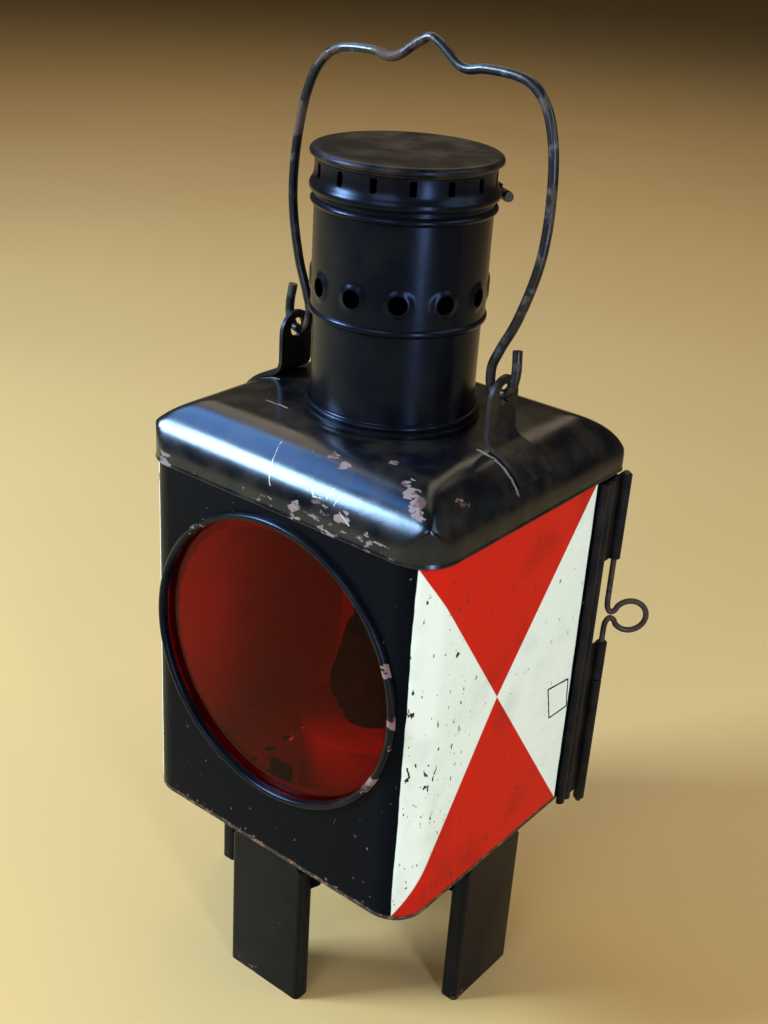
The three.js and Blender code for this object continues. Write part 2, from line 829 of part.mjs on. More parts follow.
function doorPin() {
  const radius = rearWire / 2;
  const headRadius = radius + fitGap + sheet / 2;
  const top = tubeTopZ + fitGap;
  const bottom = tubeBottomZ - fitGap;
  const shank = rod(radius, bottom - sheet / 2, top + sheet / 2);
  const upper = rod(headRadius, top, top + sheet);
  const lower = rod(headRadius, bottom - sheet, bottom);
  return joined(shank, upper, lower).translate(-tubeX, tubeY, 0);
}

// Latch: one spring wire up the right rail with a pinched eye for the fingers
function latchWire() {
  const eye = [];
  const eyeSteps = 10;
  const openShare = 0.86;
  for (let i = 0; i <= eyeSteps; i += 1) {
    const turn = Math.PI * openShare * (1 - (2 * i) / eyeSteps);
    const u = latchEyeReach + Math.cos(turn) * latchEyeRadius;
    eye.push([u, latchEyeZ + Math.sin(turn) * latchEyeRadius]);
  }
  const neckShare = 0.34;
  const neckU = (latchEyeReach - latchEyeRadius) * neckShare * 2;
  const bend = [
    [0, latchEyeZ + latchBend],
    [neckU * neckShare, latchEyeZ + latchNeck + latchBend * neckShare * neckShare],
    [neckU, latchEyeZ + latchNeck],
  ];
  const back = bend.map(([u, z]) => [u, 2 * latchEyeZ - z]).reverse();
  const points = [...bend, ...eye, ...back].map(([u, z]) => new THREE.Vector3(u, 0, z));
  const top = new THREE.Vector3(0, 0, latchTopZ);
  const bottom = new THREE.Vector3(0, 0, latchBottomZ);
  const path = new THREE.CurvePath();
  path.add(new THREE.LineCurve3(top, points[0]));
  path.add(new THREE.CatmullRomCurve3(points, false, 'centripetal'));
  path.add(new THREE.LineCurve3(points[points.length - 1], bottom));
  const body = wire(path, rearWire, smallSides / 2, latchSteps);
  return body.rotateZ(latchAngle * degree).translate(tubeX, tubeY, 0);
}

// Socket at the front, with its pocket open at the foot; the others are turned copies
function socket() {
  const half = socketWidth / 2;
  const body = roundedPlan([-half, 0], [half, socketDepth], socketCorner, socketCorner);
  const inner = roundedPlan(
    [-half + heavySheet, heavySheet],
    [half - heavySheet, socketDepth - heavySheet],
    socketCorner - heavySheet,
    socketCorner - heavySheet,
  );
  const face = polygon([
    [-half, -socketLength],
    [half, -socketLength],
    [half, -fitGap - socketChamfer],
    [half - socketChamfer, -fitGap],
    [-half + socketChamfer, -fitGap],
    [-half, -fitGap - socketChamfer],
  ]);
  const cornerSteps = 2;
  const tube = prism(body, -socketLength, -fitGap, cornerSteps);
  const pocket = prism(inner, -socketLength - overrun, overrun, cornerSteps);
  return cut(common(tube, prismAlongY(face, -overrun, socketDepth + overrun)), pocket);
}

// Bracket: one flange under the pan, the other down the back of the socket
function bracket() {
  const half = bracketWidth / 2;
  const back = socketDepth + fitGap;
  const angle = polygon([
    [back, -bracketDrop],
    [back + heavySheet, -bracketDrop],
    [back + heavySheet, -fitGap - heavySheet],
    [back + bracketFlange, -fitGap - heavySheet],
    [back + bracketFlange, -fitGap],
    [back, -fitGap],
  ]);
  const face = polygon([
    [-half + bracketCorner, -bracketDrop],
    [half - bracketCorner, -bracketDrop],
    [half, -bracketDrop + bracketCorner],
    [half, overrun],
    [-half, overrun],
    [-half, -bracketDrop + bracketCorner],
  ]);
  return common(prismAlongX(angle, -half, half), prismAlongY(face, 0, back + bracketFlange + overrun));
}

// Oil tank: a shallow drum with a dished top, a mouth for the burner and a filler cap
function oilTank() {
  const base = floorZ + fitGap;
  const top = base + tankHeight;
  const rim = tankRadius - tankBead;
  const drum = turned([
    [tankMouth, top - sheet],
    [rim - sheet, top - sheet],
    [rim - sheet, base + sheet],
    [0, base + sheet],
    [0, base],
    [tankRadius, base],
    [tankRadius, base + tankBead],
    [rim, base + tankBead * 2],
    [rim, top - tankBead * 2],
    [tankRadius, top - tankBead],
    [tankRadius, top],
    [tankMouth, top],
  ]);
  return drum;
}

function fillerCap() {
  const base = tankTopZ + fitGap;
  const rollShare = 0.8;
  const cap = turned([
    [0, base],
    [capRadius, base],
    [capRadius, base + capHeight * rollShare],
    [capRadius * rollShare, base + capHeight],
    [0, base + capHeight],
  ], smallSides);
  return cap.translate(capOffset, 0, 0).rotateZ(capAngle * degree);
}

function tankClip() {
  const base = floorZ + fitGap;
  const low = [clipReach, clipReach, base];
  const end = clipReach + clipLength;
  const plate = block(low, [end, clipReach + clipWidth, base + heavySheet]);
  const tab = block(low, [end, clipReach + heavySheet, base + clipHeight]);
  return joined(plate, tab);
}

// Burner: gallery, wick tube with a window for the wheel, wick, winder and cone
function burnerGallery() {
  const base = galleryBottomZ;
  const neckShare = 0.82;
  const stepShare = 0.35;
  const neck = galleryRadius * neckShare;
  const wall = skin([
    [neck, base],
    [neck, base + galleryHeight * stepShare],
    [galleryRadius, base + galleryHeight * (stepShare + stepShare / 2)],
    [galleryRadius, base + galleryHeight],
  ], heavySheet, roundSides / 2);
  const deckRadius = neck - heavySheet / 2;
  const deckTop = base + heavySheet;
  const deck = turned([[0, base], [deckRadius, base], [deckRadius, deckTop], [0, deckTop]], roundSides / 2);
  const slotX = wickWidth / 2 + sheet + fitGap * 2;
  const slotY = wickThickness / 2 + sheet + fitGap * 2;
  const slot = block([-slotX, -slotY, base - overrun], [slotX, slotY, base + heavySheet + overrun]);
  const bearing = rodAlongX(winderRadius + fitGap, winderStart, galleryRadius + overrun);
  bearing.translate(0, winderY, winderZ);
  return cut(joined(wall, deck), slot, bearing);
}

function wickTube() {
  const x = wickWidth / 2 + fitGap;
  const y = wickThickness / 2 + fitGap;
  const body = block([-x - sheet, -y - sheet, wickTubeBottomZ], [x + sheet, y + sheet, wickTubeTopZ]);
  const hollow = block([-x, -y, wickTubeBottomZ - overrun], [x, y, wickTubeTopZ + overrun]);
  const gap = fitGap * 2;
  const wheelX = winderStart - wheelWidth;
  const window = block(
    [wheelX - gap, 0, winderZ - wheelRadius - gap],
    [winderStart + gap, y + sheet + overrun, winderZ + wheelRadius + gap],
  );
  return cut(body, hollow, window);
}

function wick() {
  return block(
    [-wickWidth / 2, -wickThickness / 2, wickBottomZ],
    [wickWidth / 2, wickThickness / 2, wickTopZ],
  );
}

function winder() {
  const shape = new THREE.Shape();
  for (let i = 0; i < wheelTeeth * 2; i += 1) {
    const radius = i % 2 ? wheelRadius - toothDepth : wheelRadius;
    const turn = (i / wheelTeeth) * Math.PI;
    const [x, y] = [Math.cos(turn) * radius, Math.sin(turn) * radius];
    if (i === 0) shape.moveTo(x, y);
    else shape.lineTo(x, y);
  }
  shape.closePath();
  const wheel = prismAlongX(shape, winderStart - wheelWidth, winderStart);
  const shaft = rodAlongX(winderRadius, winderStart - wheelWidth, winderEnd);
  return joined(wheel, shaft).translate(0, winderY, winderZ);
}

function winderKnob() {
  const shape = new THREE.Shape();
  const steps = knobLobes * 4;
  for (let i = 0; i < steps; i += 1) {
    const turn = (i / steps) * Math.PI * 2;
    const radius = knobRadius - knobLobeDepth * (1 + Math.cos(turn * knobLobes)) / 2;
    const [x, y] = [Math.cos(turn) * radius, Math.sin(turn) * radius];
    if (i === 0) shape.moveTo(x, y);
    else shape.lineTo(x, y);
  }
  shape.closePath();
  const start = winderEnd + fitGap;
  return prismAlongX(shape, start, start + knobThickness).translate(0, winderY, winderZ);
}

function burnerCone() {
  const base = coneBottomZ;
  const top = base + coneHeight;
  const shoulderShare = 0.45;
  const neckShare = 0.8;
  const mouthShare = 0.72;
  const dome = turned([
    [galleryRadius - heavySheet, base],
    [coneRadius, base],
    [coneRadius, base + coneHeight * shoulderShare / 2],
    [coneRadius * neckShare, base + coneHeight * shoulderShare * 2 * neckShare],
    [coneRadius * mouthShare, top],
    [0, top],
    [0, top - heavySheet],
    [coneRadius * mouthShare - heavySheet, top - heavySheet],
    [coneRadius * neckShare - heavySheet, base + coneHeight * shoulderShare * 2 * neckShare],
    [coneRadius - heavySheet, base + coneHeight * shoulderShare / 2],
    [galleryRadius - heavySheet, base + heavySheet],
  ], roundSides / 2);
  const mouth = block(
    [-coneMouthLength / 2, -coneMouthWidth / 2, top - overrun * 2],
    [coneMouthLength / 2, coneMouthWidth / 2, top + overrun],
  );
  return cut(dome, mouth);
}

// Reflector dish facing the glass, and the strip that carries it from the tank
function reflector() {
  const steps = 4;
  const face = [];
  for (let i = 0; i <= steps; i += 1) {
    const share = i / steps;
    face.push([reflectorRadius * share, reflectorDepth * (share * share - 1)]);
  }
  const back = face.map(([r, z]) => [r, z - sheet]);
  const dish = turned([...back, ...face.reverse()]);
  return dish.rotateX(Math.PI / 2).translate(0, reflectorRimY, reflectorZ);
}

function reflectorStrip() {
  const y = reflectorRimY + reflectorDepth + sheet + fitGap;
  const base = floorZ + fitGap;
  const foot = tankRadius + fitGap;
  const bendZ = base + tankHeight / 2;
  const topZ = reflectorZ + stripWidth / 2;
  const side = polygon([
    [foot, base + tankBead],
    [foot + heavySheet, base + tankBead],
    [foot + heavySheet, bendZ],
    [y + heavySheet, bendZ + (y - foot)],
    [y + heavySheet, topZ],
    [y, topZ],
    [y, bendZ + (y - foot) + heavySheet],
    [foot, bendZ + heavySheet],
  ]);
  return prismAlongX(side, -stripWidth / 2, stripWidth / 2);
}

// Assembly
function turnedTo(geometry, quarter, front) {
  return geometry.translate(0, front, 0).rotateZ(quarter * Math.PI / 2);
}

function burnerParts() {
  return group(
    piece('oil_tank', oilTank(), tinned()),
    piece('filler_cap', fillerCap(), brass()),
    piece('burner_gallery', burnerGallery(), brass()),
    piece('wick_tube', wickTube(), brass()),
    piece('wick', wick(), cotton()),
    piece('wick_winder', winder(), brass()),
    piece('winder_knob', winderKnob(), brass()),
    piece('burner_cone', burnerCone(), wornBlack()),
    piece('reflector', reflector(), tinned()),
    piece('reflector_strip', reflectorStrip(), wornBlack()),
  );
}

function socketParts() {
  const sides = [
    ['front', 0, frontY],
    ['right', 1, -halfWidth],
    ['rear', 2, -caseRearY],
    ['left', 3, -halfWidth],
  ];
  return group(...sides.flatMap(([side, quarter, edge]) => [
    piece(`socket_${side}`, turnedTo(socket(), quarter, edge), wornBlack()),
    piece(`socket_bracket_${side}`, turnedTo(bracket(), quarter, edge), wornBlack()),
  ]));
}

function clipParts() {
  const corners = ['rear_right', 'rear_left', 'front_left', 'front_right'];
  return group(...corners.map((corner, quarter) => {
    const clip = tankClip();
    const placed = quarter % 2 ? mirrored(clip.rotateZ((quarter - 1) * -Math.PI / 2)) : clip;
    return piece(`tank_clip_${corner}`, quarter === 2 ? clip.rotateZ(Math.PI) : placed, wornBlack());
  }));
}

function caseParts() {
  return group(
    piece('case_shell', caseShell(), sidePaint()),
    piece('bottom_pan', bottomPan(), wornBlack()),
    piece('roof', roof(), blackPaint()),
    piece('lens_bezel', lensBezel(), blackPaint()),
    piece('lens_glass', lensGlass(), redGlass()),
    piece('lens_retainer', lensRetainer(), tinned()),
    piece('rail_right', rightRail(), wornBlack()),
    piece('rail_left', leftRail(), wornBlack()),
  );
}

function chimneyParts() {
  return group(
    piece('chimney_foot_ring', footRing(), blackPaint()),
    piece('chimney_flue', flueTube(), blackPaint()),
    piece('chimney_stack', stackTube(), blackPaint()),
    piece('lid_hinge_lug', hingeLug(), wornBlack()),
  );
}

function lidParts() {
  return group(
    piece('lid_gallery', lidGallery(), blackPaint()),
    piece('lid_cap', lidCap(), wornBlack()),
    piece('lid_hinge_fork', hingeFork(), wornBlack()),
    piece('lid_hinge_pin', hingePin(), wireSteel()),
  );
}

const lamp = group(
  caseParts(),
  socketParts(),
  clipParts(),
  burnerParts(),
  chimneyParts(),
  lidParts(),
  piece('ear_right', ear(), wornBlack()),
  piece('ear_left', mirrored(ear()), wornBlack()),
  piece('bail', bail(), wireSteel()),
  group(piece('door_panel', doorPanel(), wornBlack()), piece('door_pin', doorPin(), wireSteel())),
  piece('latch_wire', latchWire(), wireSteel()),
);

// The origin is the middle of the base of everything, eye and hinge tubes included
const eyeReach = (latchRadius * Math.cos(latchAngle * degree)) + rearWire / 2;
const eyeDepth = (latchRadius * Math.sin(latchAngle * degree)) + rearWire / 2;
const middleX = (tubeX + eyeReach - (tubeX + tubeRadius)) / 2;
const middleY = (tubeY + eyeDepth + frontY - bezelCrest) / 2;
lamp.position.set(-middleX, -middleY, socketLength);

export default lamp;
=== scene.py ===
from math import asin, atan2, cos, degrees, pi, radians, sin, sqrt

import bmesh
import bpy
from mathutils import Matrix, Vector


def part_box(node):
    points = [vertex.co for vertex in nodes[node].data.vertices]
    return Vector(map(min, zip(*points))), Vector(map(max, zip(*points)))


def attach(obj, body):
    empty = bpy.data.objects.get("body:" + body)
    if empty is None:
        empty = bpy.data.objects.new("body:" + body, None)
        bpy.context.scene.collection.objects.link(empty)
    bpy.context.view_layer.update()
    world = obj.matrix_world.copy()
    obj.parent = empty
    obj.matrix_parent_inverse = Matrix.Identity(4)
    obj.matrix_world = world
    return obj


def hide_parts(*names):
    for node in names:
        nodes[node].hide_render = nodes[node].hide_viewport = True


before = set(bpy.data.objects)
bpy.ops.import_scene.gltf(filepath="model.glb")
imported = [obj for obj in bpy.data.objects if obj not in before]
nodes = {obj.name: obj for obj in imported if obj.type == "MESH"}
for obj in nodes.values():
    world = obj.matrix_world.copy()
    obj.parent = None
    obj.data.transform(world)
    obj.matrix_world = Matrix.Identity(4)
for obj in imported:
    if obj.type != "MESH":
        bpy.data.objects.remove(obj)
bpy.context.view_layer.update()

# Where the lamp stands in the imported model, in metres
mm = 0.001
flue_low, flue_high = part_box("chimney_flue")
axis_x = (flue_low.x + flue_high.x) / 2
axis_y = (flue_low.y + flue_high.y) / 2
base_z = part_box("bottom_pan")[0].z
smooth_angle = radians(38)

# Sizes of the lamp in mm, from the burner's axis and the underside of the case
sheet = 0.9
half_width = 80.0
front_y = -74.0
rear_y = 68.7
case_low_z = 2.3
case_high_z = 178.7
corner_radius = 16.3
corner_x = half_width - corner_radius
corner_y = front_y + corner_radius
glass_z = 102.6
opening_radius = 67.3
roof_top_z = 203.3
arch_radius = 24.4
flue_low_z = 196.0
flue_high_z = 254.0
flue_radius = 36.3
roof_hole_radius = 36.6
stack_radius = 37.5
stack_low_z = 246.8
stack_high_z = 302.0
vent_count = 12
vent_step = 360 / vent_count
first_vent = 7.5
vent_z = 260.7
vent_radius = 4.0
lid_slots = 15
ear_inner_x = 56.85
ear_outer_x = 58.75
ear_half_width = 10.0
ear_bend_z = 210.6
pivot_z = 225.7
bail_half_width = 66.5
bail_height = 133.0
bail_wire = 4.2
bail_lean = radians(-4.5)
rail_low_z = -3.0
rail_high_z = 174.8
hinge_x = 82.5
hinge_y = 73.0
tube_radius = 2.8
tube_bore = 1.8
door_gap_low = 64.0
door_gap_high = 131.0
latch_wire_size = 2.8
latch_eye_z = 100.0
latch_turn = radians(40)
foot_z = -81.0
socket_half_width = 22.3
socket_depth = 9.0
socket_sheet = 1.4


def place(x, y, z):
    """A point given in millimetres from the burner's axis and the underside of the case."""
    return Vector((axis_x + x * mm, axis_y + y * mm, base_z + z * mm))


origin = place(0, 0, 0)


# Mesh helpers
def finish_mesh(name, bm, flat=False):
    bmesh.ops.remove_doubles(bm, verts=bm.verts, dist=1e-6)
    bmesh.ops.recalc_face_normals(bm, faces=bm.faces)
    mesh = bpy.data.meshes.new(name)
    bm.to_mesh(mesh)
    bm.free()
    piece = bpy.data.objects.new(name, mesh)
    if not flat:
        smoothed(piece)
    bpy.context.scene.collection.objects.link(piece)
    return piece


def smoothed(piece):
    """Shades a piece smooth, with its sharp edges kept."""
    piece.data.shade_smooth()
    piece.data.set_sharp_from_angle(angle=smooth_angle)


def settle(piece, material, body, slot, *replaced):
    """Gives a finished piece its material and its moving body, and hides the imported nodes it stands for;
    its slot is not used.
    """
    piece.data.materials.clear()
    piece.data.materials.append(material)
    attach(piece, body)
    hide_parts(*replaced)


def spun(profile, steps, centre=origin):
    """A closed profile of radius and height in mm, spun round a vertical line through the centre."""
    bm = bmesh.new()
    verts = [bm.verts.new(centre + Vector((r * mm, 0, z * mm))) for r, z in profile]
    edges = [bm.edges.new(pair) for pair in zip(verts, verts[1:] + verts[:1])]
    bmesh.ops.spin(
        bm, geom=verts + edges, cent=centre, axis=(0, 0, 1), angle=2 * pi, steps=steps, use_merge=True
    )
    return bm


def skin(outer):
    """The outer line of a turned sheet, and its inner line one sheet further in."""
    return outer + [(r - sheet, z) for r, z in reversed(outer)]


def arc(centre, radius, start, end, steps):
    """Points of a round stretch of an outline; the angles are in degrees."""
    turns = [start + (end - start) * i / steps for i in range(steps + 1)]
    return [(centre[0] + radius * cos(radians(t)), centre[1] + radius * sin(radians(t))) for t in turns]


def turn_mesh(bm, angle, axis, centre=origin):
    bmesh.ops.rotate(bm, verts=bm.verts, cent=centre, matrix=Matrix.Rotation(angle, 3, axis))


def shift_mesh(bm, x, y, z):
    bmesh.ops.translate(bm, verts=bm.verts, vec=Vector((x, y, z)) * mm)


def bevelled(bm, edges, width, segments):
    bmesh.ops.bevel(
        bm, geom=edges, offset=width * mm, segments=segments, profile=0.5, affect="EDGES", material=-1
    )


def box_mesh(low, high, radius=0, segments=2, keep=None):
    """A box between two corners in mm, with the kept edges rounded."""
    bm = bmesh.new()
    bmesh.ops.create_cube(bm, size=1)
    a, b = place(*low), place(*high)
    bmesh.ops.scale(bm, verts=bm.verts, vec=b - a)
    bmesh.ops.translate(bm, verts=bm.verts, vec=(a + b) / 2)
    if radius:
        bevelled(bm, [e for e in bm.edges if keep is None or keep(e)], radius, segments)
    return bm


def along(edge, axis):
    """Whether an edge runs along the x, y or z axis."""
    a, b = (v.co for v in edge.verts)
    return abs((b - a).normalized()["xyz".index(axis)]) > 0.99


def upright(edge):
    return along(edge, "z")


def add_mesh(bm, other):
    """Adds another bmesh to this one and frees it."""
    mesh = bpy.data.meshes.new("part")
    other.to_mesh(mesh)
    other.free()
    bm.from_mesh(mesh)
    bpy.data.meshes.remove(mesh)


def mesh_of(piece):
    """The mesh of a piece as a bmesh; the piece itself is removed."""
    bm = bmesh.new()
    bm.from_mesh(piece.data)
    bpy.data.objects.remove(piece)
    return bm


def rod_mesh(radius, start, end, sides=32):
    bm = bmesh.new()
    a, b = place(*start), place(*end)
    bmesh.ops.create_cone(
        bm, cap_ends=True, cap_tris=False, segments=sides,
        radius1=radius * mm, radius2=radius * mm, depth=(b - a).length,
    )
    turn = Vector((0, 0, 1)).rotation_difference((b - a).normalized()).to_matrix()
    bmesh.ops.rotate(bm, verts=bm.verts, cent=(0, 0, 0), matrix=turn)
    bmesh.ops.translate(bm, verts=bm.verts, vec=(a + b) / 2)
    return bm


def tube_mesh(x, y, low, high):
    """A rolled hinge tube with softened ends."""
    soft = 0.4
    profile = [(tube_bore, low), (tube_radius - soft, low), (tube_radius, low + soft)]
    profile += [(tube_radius, high - soft), (tube_radius - soft, high), (tube_bore, high)]
    return spun(profile, 36, place(x, y, 0))


def carved(piece, cutter):
    """The piece with the cutter's shape taken out of it."""
    tool = finish_mesh("cutter", cutter, flat=True)
    modifier = piece.modifiers.new("carve", "BOOLEAN")
    modifier.object = tool
    modifier.operation = "DIFFERENCE"
    modifier.solver = "EXACT"
    graph = bpy.context.evaluated_depsgraph_get()
    mesh = bpy.data.meshes.new_from_object(piece.evaluated_get(graph))
    piece.modifiers.clear()
    old = piece.data
    piece.data = mesh
    bpy.data.meshes.remove(old)
    bpy.data.objects.remove(tool)
    smoothed(piece)


def smooth_path(points, per_span):
    """Centripetal spline through the points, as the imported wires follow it."""
    ends = [points[0] * 2 - points[1]] + points + [points[-1] * 2 - points[-2]]
    path = []
    for a, b, c, d in zip(ends, ends[1:], ends[2:], ends[3:]):
        t0 = 0
        t1 = t0 + sqrt((b - a).length)
        t2 = t1 + sqrt((c - b).length)
        t3 = t2 + sqrt((d - c).length)
        for i in range(per_span):
            t = t1 + (t2 - t1) * i / per_span
            p = a * (t1 - t) / (t1 - t0) + b * (t - t0) / (t1 - t0)
            q = b * (t2 - t) / (t2 - t1) + c * (t - t1) / (t2 - t1)
            r = c * (t3 - t) / (t3 - t2) + d * (t - t2) / (t3 - t2)
            s = p * (t2 - t) / (t2 - t0) + q * (t - t0) / (t2 - t0)
            u = q * (t3 - t) / (t3 - t1) + r * (t - t1) / (t3 - t1)
            path.append(s * (t2 - t) / (t2 - t1) + u * (t - t1) / (t2 - t1))
    return path + [points[-1]]


def wire_piece(name, path, diameter):
    """A round wire along a path of points."""
    curve = bpy.data.curves.new(name, "CURVE")
    curve.dimensions = "3D"
    curve.bevel_depth = diameter * mm / 2
    curve.bevel_resolution = 5
    curve.use_fill_caps = True
    spline = curve.splines.new("POLY")
    spline.points.add(len(path) - 1)
    for point, co in zip(spline.points, path):
        point.co = (*co, 1)
    holder = bpy.data.objects.new(name + "_path", curve)
    bpy.context.scene.collection.objects.link(holder)
    graph = bpy.context.evaluated_depsgraph_get()
    mesh = bpy.data.meshes.new_from_object(holder.evaluated_get(graph))
    bpy.data.objects.remove(holder)
    bm = bmesh.new()
    bm.from_mesh(mesh)
    bpy.data.meshes.remove(mesh)
    return finish_mesh(name, bm)


# Material helpers
def colour(code):
    """sRGB hex to the linear colour that sockets take."""
    parts = [int(code[i:i + 2], 16) / 255 for i in (0, 2, 4)]
    linear = [c / 12.92 if c <= 0.04045 else ((c + 0.055) / 1.055) ** 2.4 for c in parts]
    return (*linear, 1.0)


def node(tree, kind, settings=None, **links):
    """Adds a node, sets its properties, and fills its inputs with values or links."""
    added = tree.nodes.new(kind)
    for name, value in (settings or {}).items():
        setattr(added, name, value)
    for name, value in links.items():
        key = int(name[1:]) if name[0] == "i" and name[1:].isdigit() else name.replace("_", " ")
        socket = added.inputs[key]
        if isinstance(value, bpy.types.NodeSocket):
            tree.links.new(value, socket)
        else:
            socket.default_value = value
    return added


def started(name, **surface):
    """A material with one surface shader, and its object coordinates in millimetres."""
    material = bpy.data.materials.new(name)
    material.use_nodes = True
    tree = material.node_tree
    tree.nodes.clear()
    shader = node(tree, "ShaderNodeBsdfPrincipled", **surface)
    node(tree, "ShaderNodeOutputMaterial", Surface=shader.outputs[0])
    coords = node(tree, "ShaderNodeTexCoord")
    scaled = node(tree, "ShaderNodeMapping", Vector=coords.outputs["Object"])
    scaled.inputs["Location"].default_value = (-axis_x / mm, -axis_y / mm, -base_z / mm)
    scaled.inputs["Scale"].default_value = (1 / mm, 1 / mm, 1 / mm)
    return material, tree, shader, scaled.outputs[0]


def math(tree, operation, a, b=0.0, c=0.0, clamp=False):
    settings = {"operation": operation, "use_clamp": clamp}
    return node(tree, "ShaderNodeMath", settings, i0=a, i1=b, i2=c).outputs[0]


def noise(tree, where, size, detail=3.0, rough=0.5, stretch=(1, 1, 1)):
    """Noise whose blotches are about the given size in mm."""
    spread = node(tree, "ShaderNodeMapping", Vector=where)
    spread.inputs["Scale"].default_value = [s / size for s in stretch]
    grain = {"Vector": spread.outputs[0], "Scale": 1.0, "Detail": detail, "Roughness": rough}
    return node(tree, "ShaderNodeTexNoise", **grain).outputs[0]


def shifting(tree, where, size, detail, reach):
    """A value that wanders to both sides of 0, as far as the reach in mm."""
    return math(tree, "MULTIPLY_ADD", noise(tree, where, size, detail), reach, -reach / 2)


def band(tree, value, low, high):
    """Rises from 0 to 1 as the value goes from low to high."""
    found = node(tree, "ShaderNodeMapRange", {"interpolation_type": "SMOOTHSTEP"}, Value=value)
    found.inputs["From Min"].default_value = low
    found.inputs["From Max"].default_value = high
    return found.outputs[0]


def between(tree, value, low, high, soft):
    """1 from low to high, 0 outside."""
    rising = band(tree, value, low - soft, low)
    falling = band(tree, value, high + soft, high)
    return math(tree, "MULTIPLY", rising, falling)


def most(tree, masks):
    total = masks[0]
    for mask in masks[1:]:
        total = math(tree, "MAXIMUM", total, mask)
    return total


def all_of(tree, masks):
    total = masks[0]
    for mask in masks[1:]:
        total = math(tree, "MULTIPLY", total, mask)
    return total


def length_of(tree, a, b):
    """How long the line is from 0 to a point of a plane."""
    squares = math(tree, "ADD", math(tree, "POWER", a, 2), math(tree, "POWER", b, 2))
    return math(tree, "SQRT", squares)


def mixed(tree, share, first, second):
    """A colour between two; hex codes and links both serve."""
    ends = [colour(end) if isinstance(end, str) else end for end in (first, second)]
    found = node(tree, "ShaderNodeMix", {"data_type": "RGBA"}, i0=share, i6=ends[0], i7=ends[1])
    return found.outputs[2]


def blended(tree, share, first, second):
    found = node(tree, "ShaderNodeMix", {"data_type": "FLOAT"}, i0=share, i2=first, i3=second)
    return found.outputs[0]


def bumped(tree, shader, height, depth, strength):
    """A bump of the given depth in mm."""
    bump = node(tree, "ShaderNodeBump", Height=height, Strength=strength, Distance=depth * mm)
    tree.links.new(bump.outputs[0], shader.inputs["Normal"])


def link(tree, value, shader, name):
    tree.links.new(value, shader.inputs[name])


def axes(tree, where):
    parts = node(tree, "ShaderNodeSeparateXYZ", Vector=where)
    return parts.outputs[0], parts.outputs[1], parts.outputs[2]


# Colours that several finishes share, as sRGB hex
rust_brown = "4a3029"
road_dust = "4f4434"
chip_rim = "050505"
solder_grey = "9a938c"
sky_sheen = "9dbcff"
roof_sheen = "c4dcff"
tin_light = "f0ede4"
tin_stained = "d2cec2"

# Places of the side paint in mm: the hourglass on the wall, and where its field ends
hourglass_y = -14.6
hourglass_z = 93.6
hourglass_to_front = 59.3
hourglass_to_rear = 65.9
hourglass_down = 91.6
hourglass_up = 82.8
field_front = -73.9
field_rear = 51.3
field_top = 176.0

# Corners of the outline drawn on the right wall, and the hook near its front edge, as y and z
drawn_outline = [(30.6, 75.8), (48.8, 73.4), (50.7, 57.0), (35.2, 57.7)]
drawn_hook = [(-71.8, 82), (-70.6, 77.5), (-72.4, 75.6)]

# Scratches on the front slope, as start, end and width; u is x, and v runs up the slope
slope_share = 0.72
roof_scratches = (
    ((-9.4, 101), (-7.2, 92), 0.3), ((-7.2, 92), (-3.5, 81.5), 0.55),
    ((16, 88), (19.5, 84), 0.5), ((19.5, 84), (23.5, 84.5), 0.5),
    ((26, 84.5), (27.2, 90), 0.5), ((30.2, 83.5), (31.5, 88.5), 0.45),
    ((-42.5, 120.4), (-28.8, 120.9), 0.35), ((34, 82), (40, 79), 0.4),
)

# Places where paint is knocked off: x, y, z, how far it reaches and how bare it is
roof_knocks = (
    (-66, -75, 178, 9, 1.2), (12, -75, 180, 9, 1.1), (24, -74, 187, 8, 0.8), (36, -74, 186, 6, 1.2),
    (48, -75, 179, 9, 1.1), (60, -75, 178, 7, 1.1), (55, -57, 202, 5, 1.15), (60, -61, 200, 6, 1.25),
    (65, -64, 198, 6, 1.25), (69, -67, 195, 5.5, 1.2), (72, -69, 190, 5, 1.1), (-8, -61, 201, 4, 1.2),
    (25, -60, 201, 5, 1.15), (17, -58, 202, 4.5, 1.1), (74, -46, 197, 7, 1.1), (40, -48, 203, 4, 1.2),
)
rim_knocks = (
    (69, -75, 105, 6, 1.6), (60, -76, 69.5, 10, 1.7), (64, -76, 128, 5, 1.2),
    (-41, -76, 157, 22, 0.9), (-5, -76, 171, 18, 0.8), (69, -75, 92, 4, 1.1),
)


# Marks and wear
def near_point(tree, where, point, reach):
    """1 at a point in mm, falling to 0 at the given reach."""
    away = node(tree, "ShaderNodeVectorMath", {"operation": "DISTANCE"}, i0=where, i1=point)
    return band(tree, away.outputs["Value"], reach, reach * 0.35)


def stroke(tree, u, v, start, end, width):
    """A drawn line between two points of a flat wall, 1 on the line."""
    soft = 0.15
    along_u, along_v = end[0] - start[0], end[1] - start[1]
    length = sqrt(along_u ** 2 + along_v ** 2)
    from_u = math(tree, "SUBTRACT", u, start[0])
    from_v = math(tree, "SUBTRACT", v, start[1])
    part_v = math(tree, "MULTIPLY", from_v, along_v / length)
    run = math(tree, "MULTIPLY_ADD", from_u, along_u / length, part_v)
    held = math(tree, "MINIMUM", math(tree, "MAXIMUM", run, 0), length)
    off_u = math(tree, "MULTIPLY_ADD", held, -along_u / length, from_u)
    off_v = math(tree, "MULTIPLY_ADD", held, -along_v / length, from_v)
    return band(tree, length_of(tree, off_u, off_v), width / 2 + soft, width / 2 - soft)


def knocks(tree, where, spots):
    """Where paint has been knocked off."""
    masks = [
        math(tree, "MULTIPLY", near_point(tree, where, (x, y, z), reach), strength)
        for x, y, z, reach, strength in spots
    ]
    return most(tree, masks)


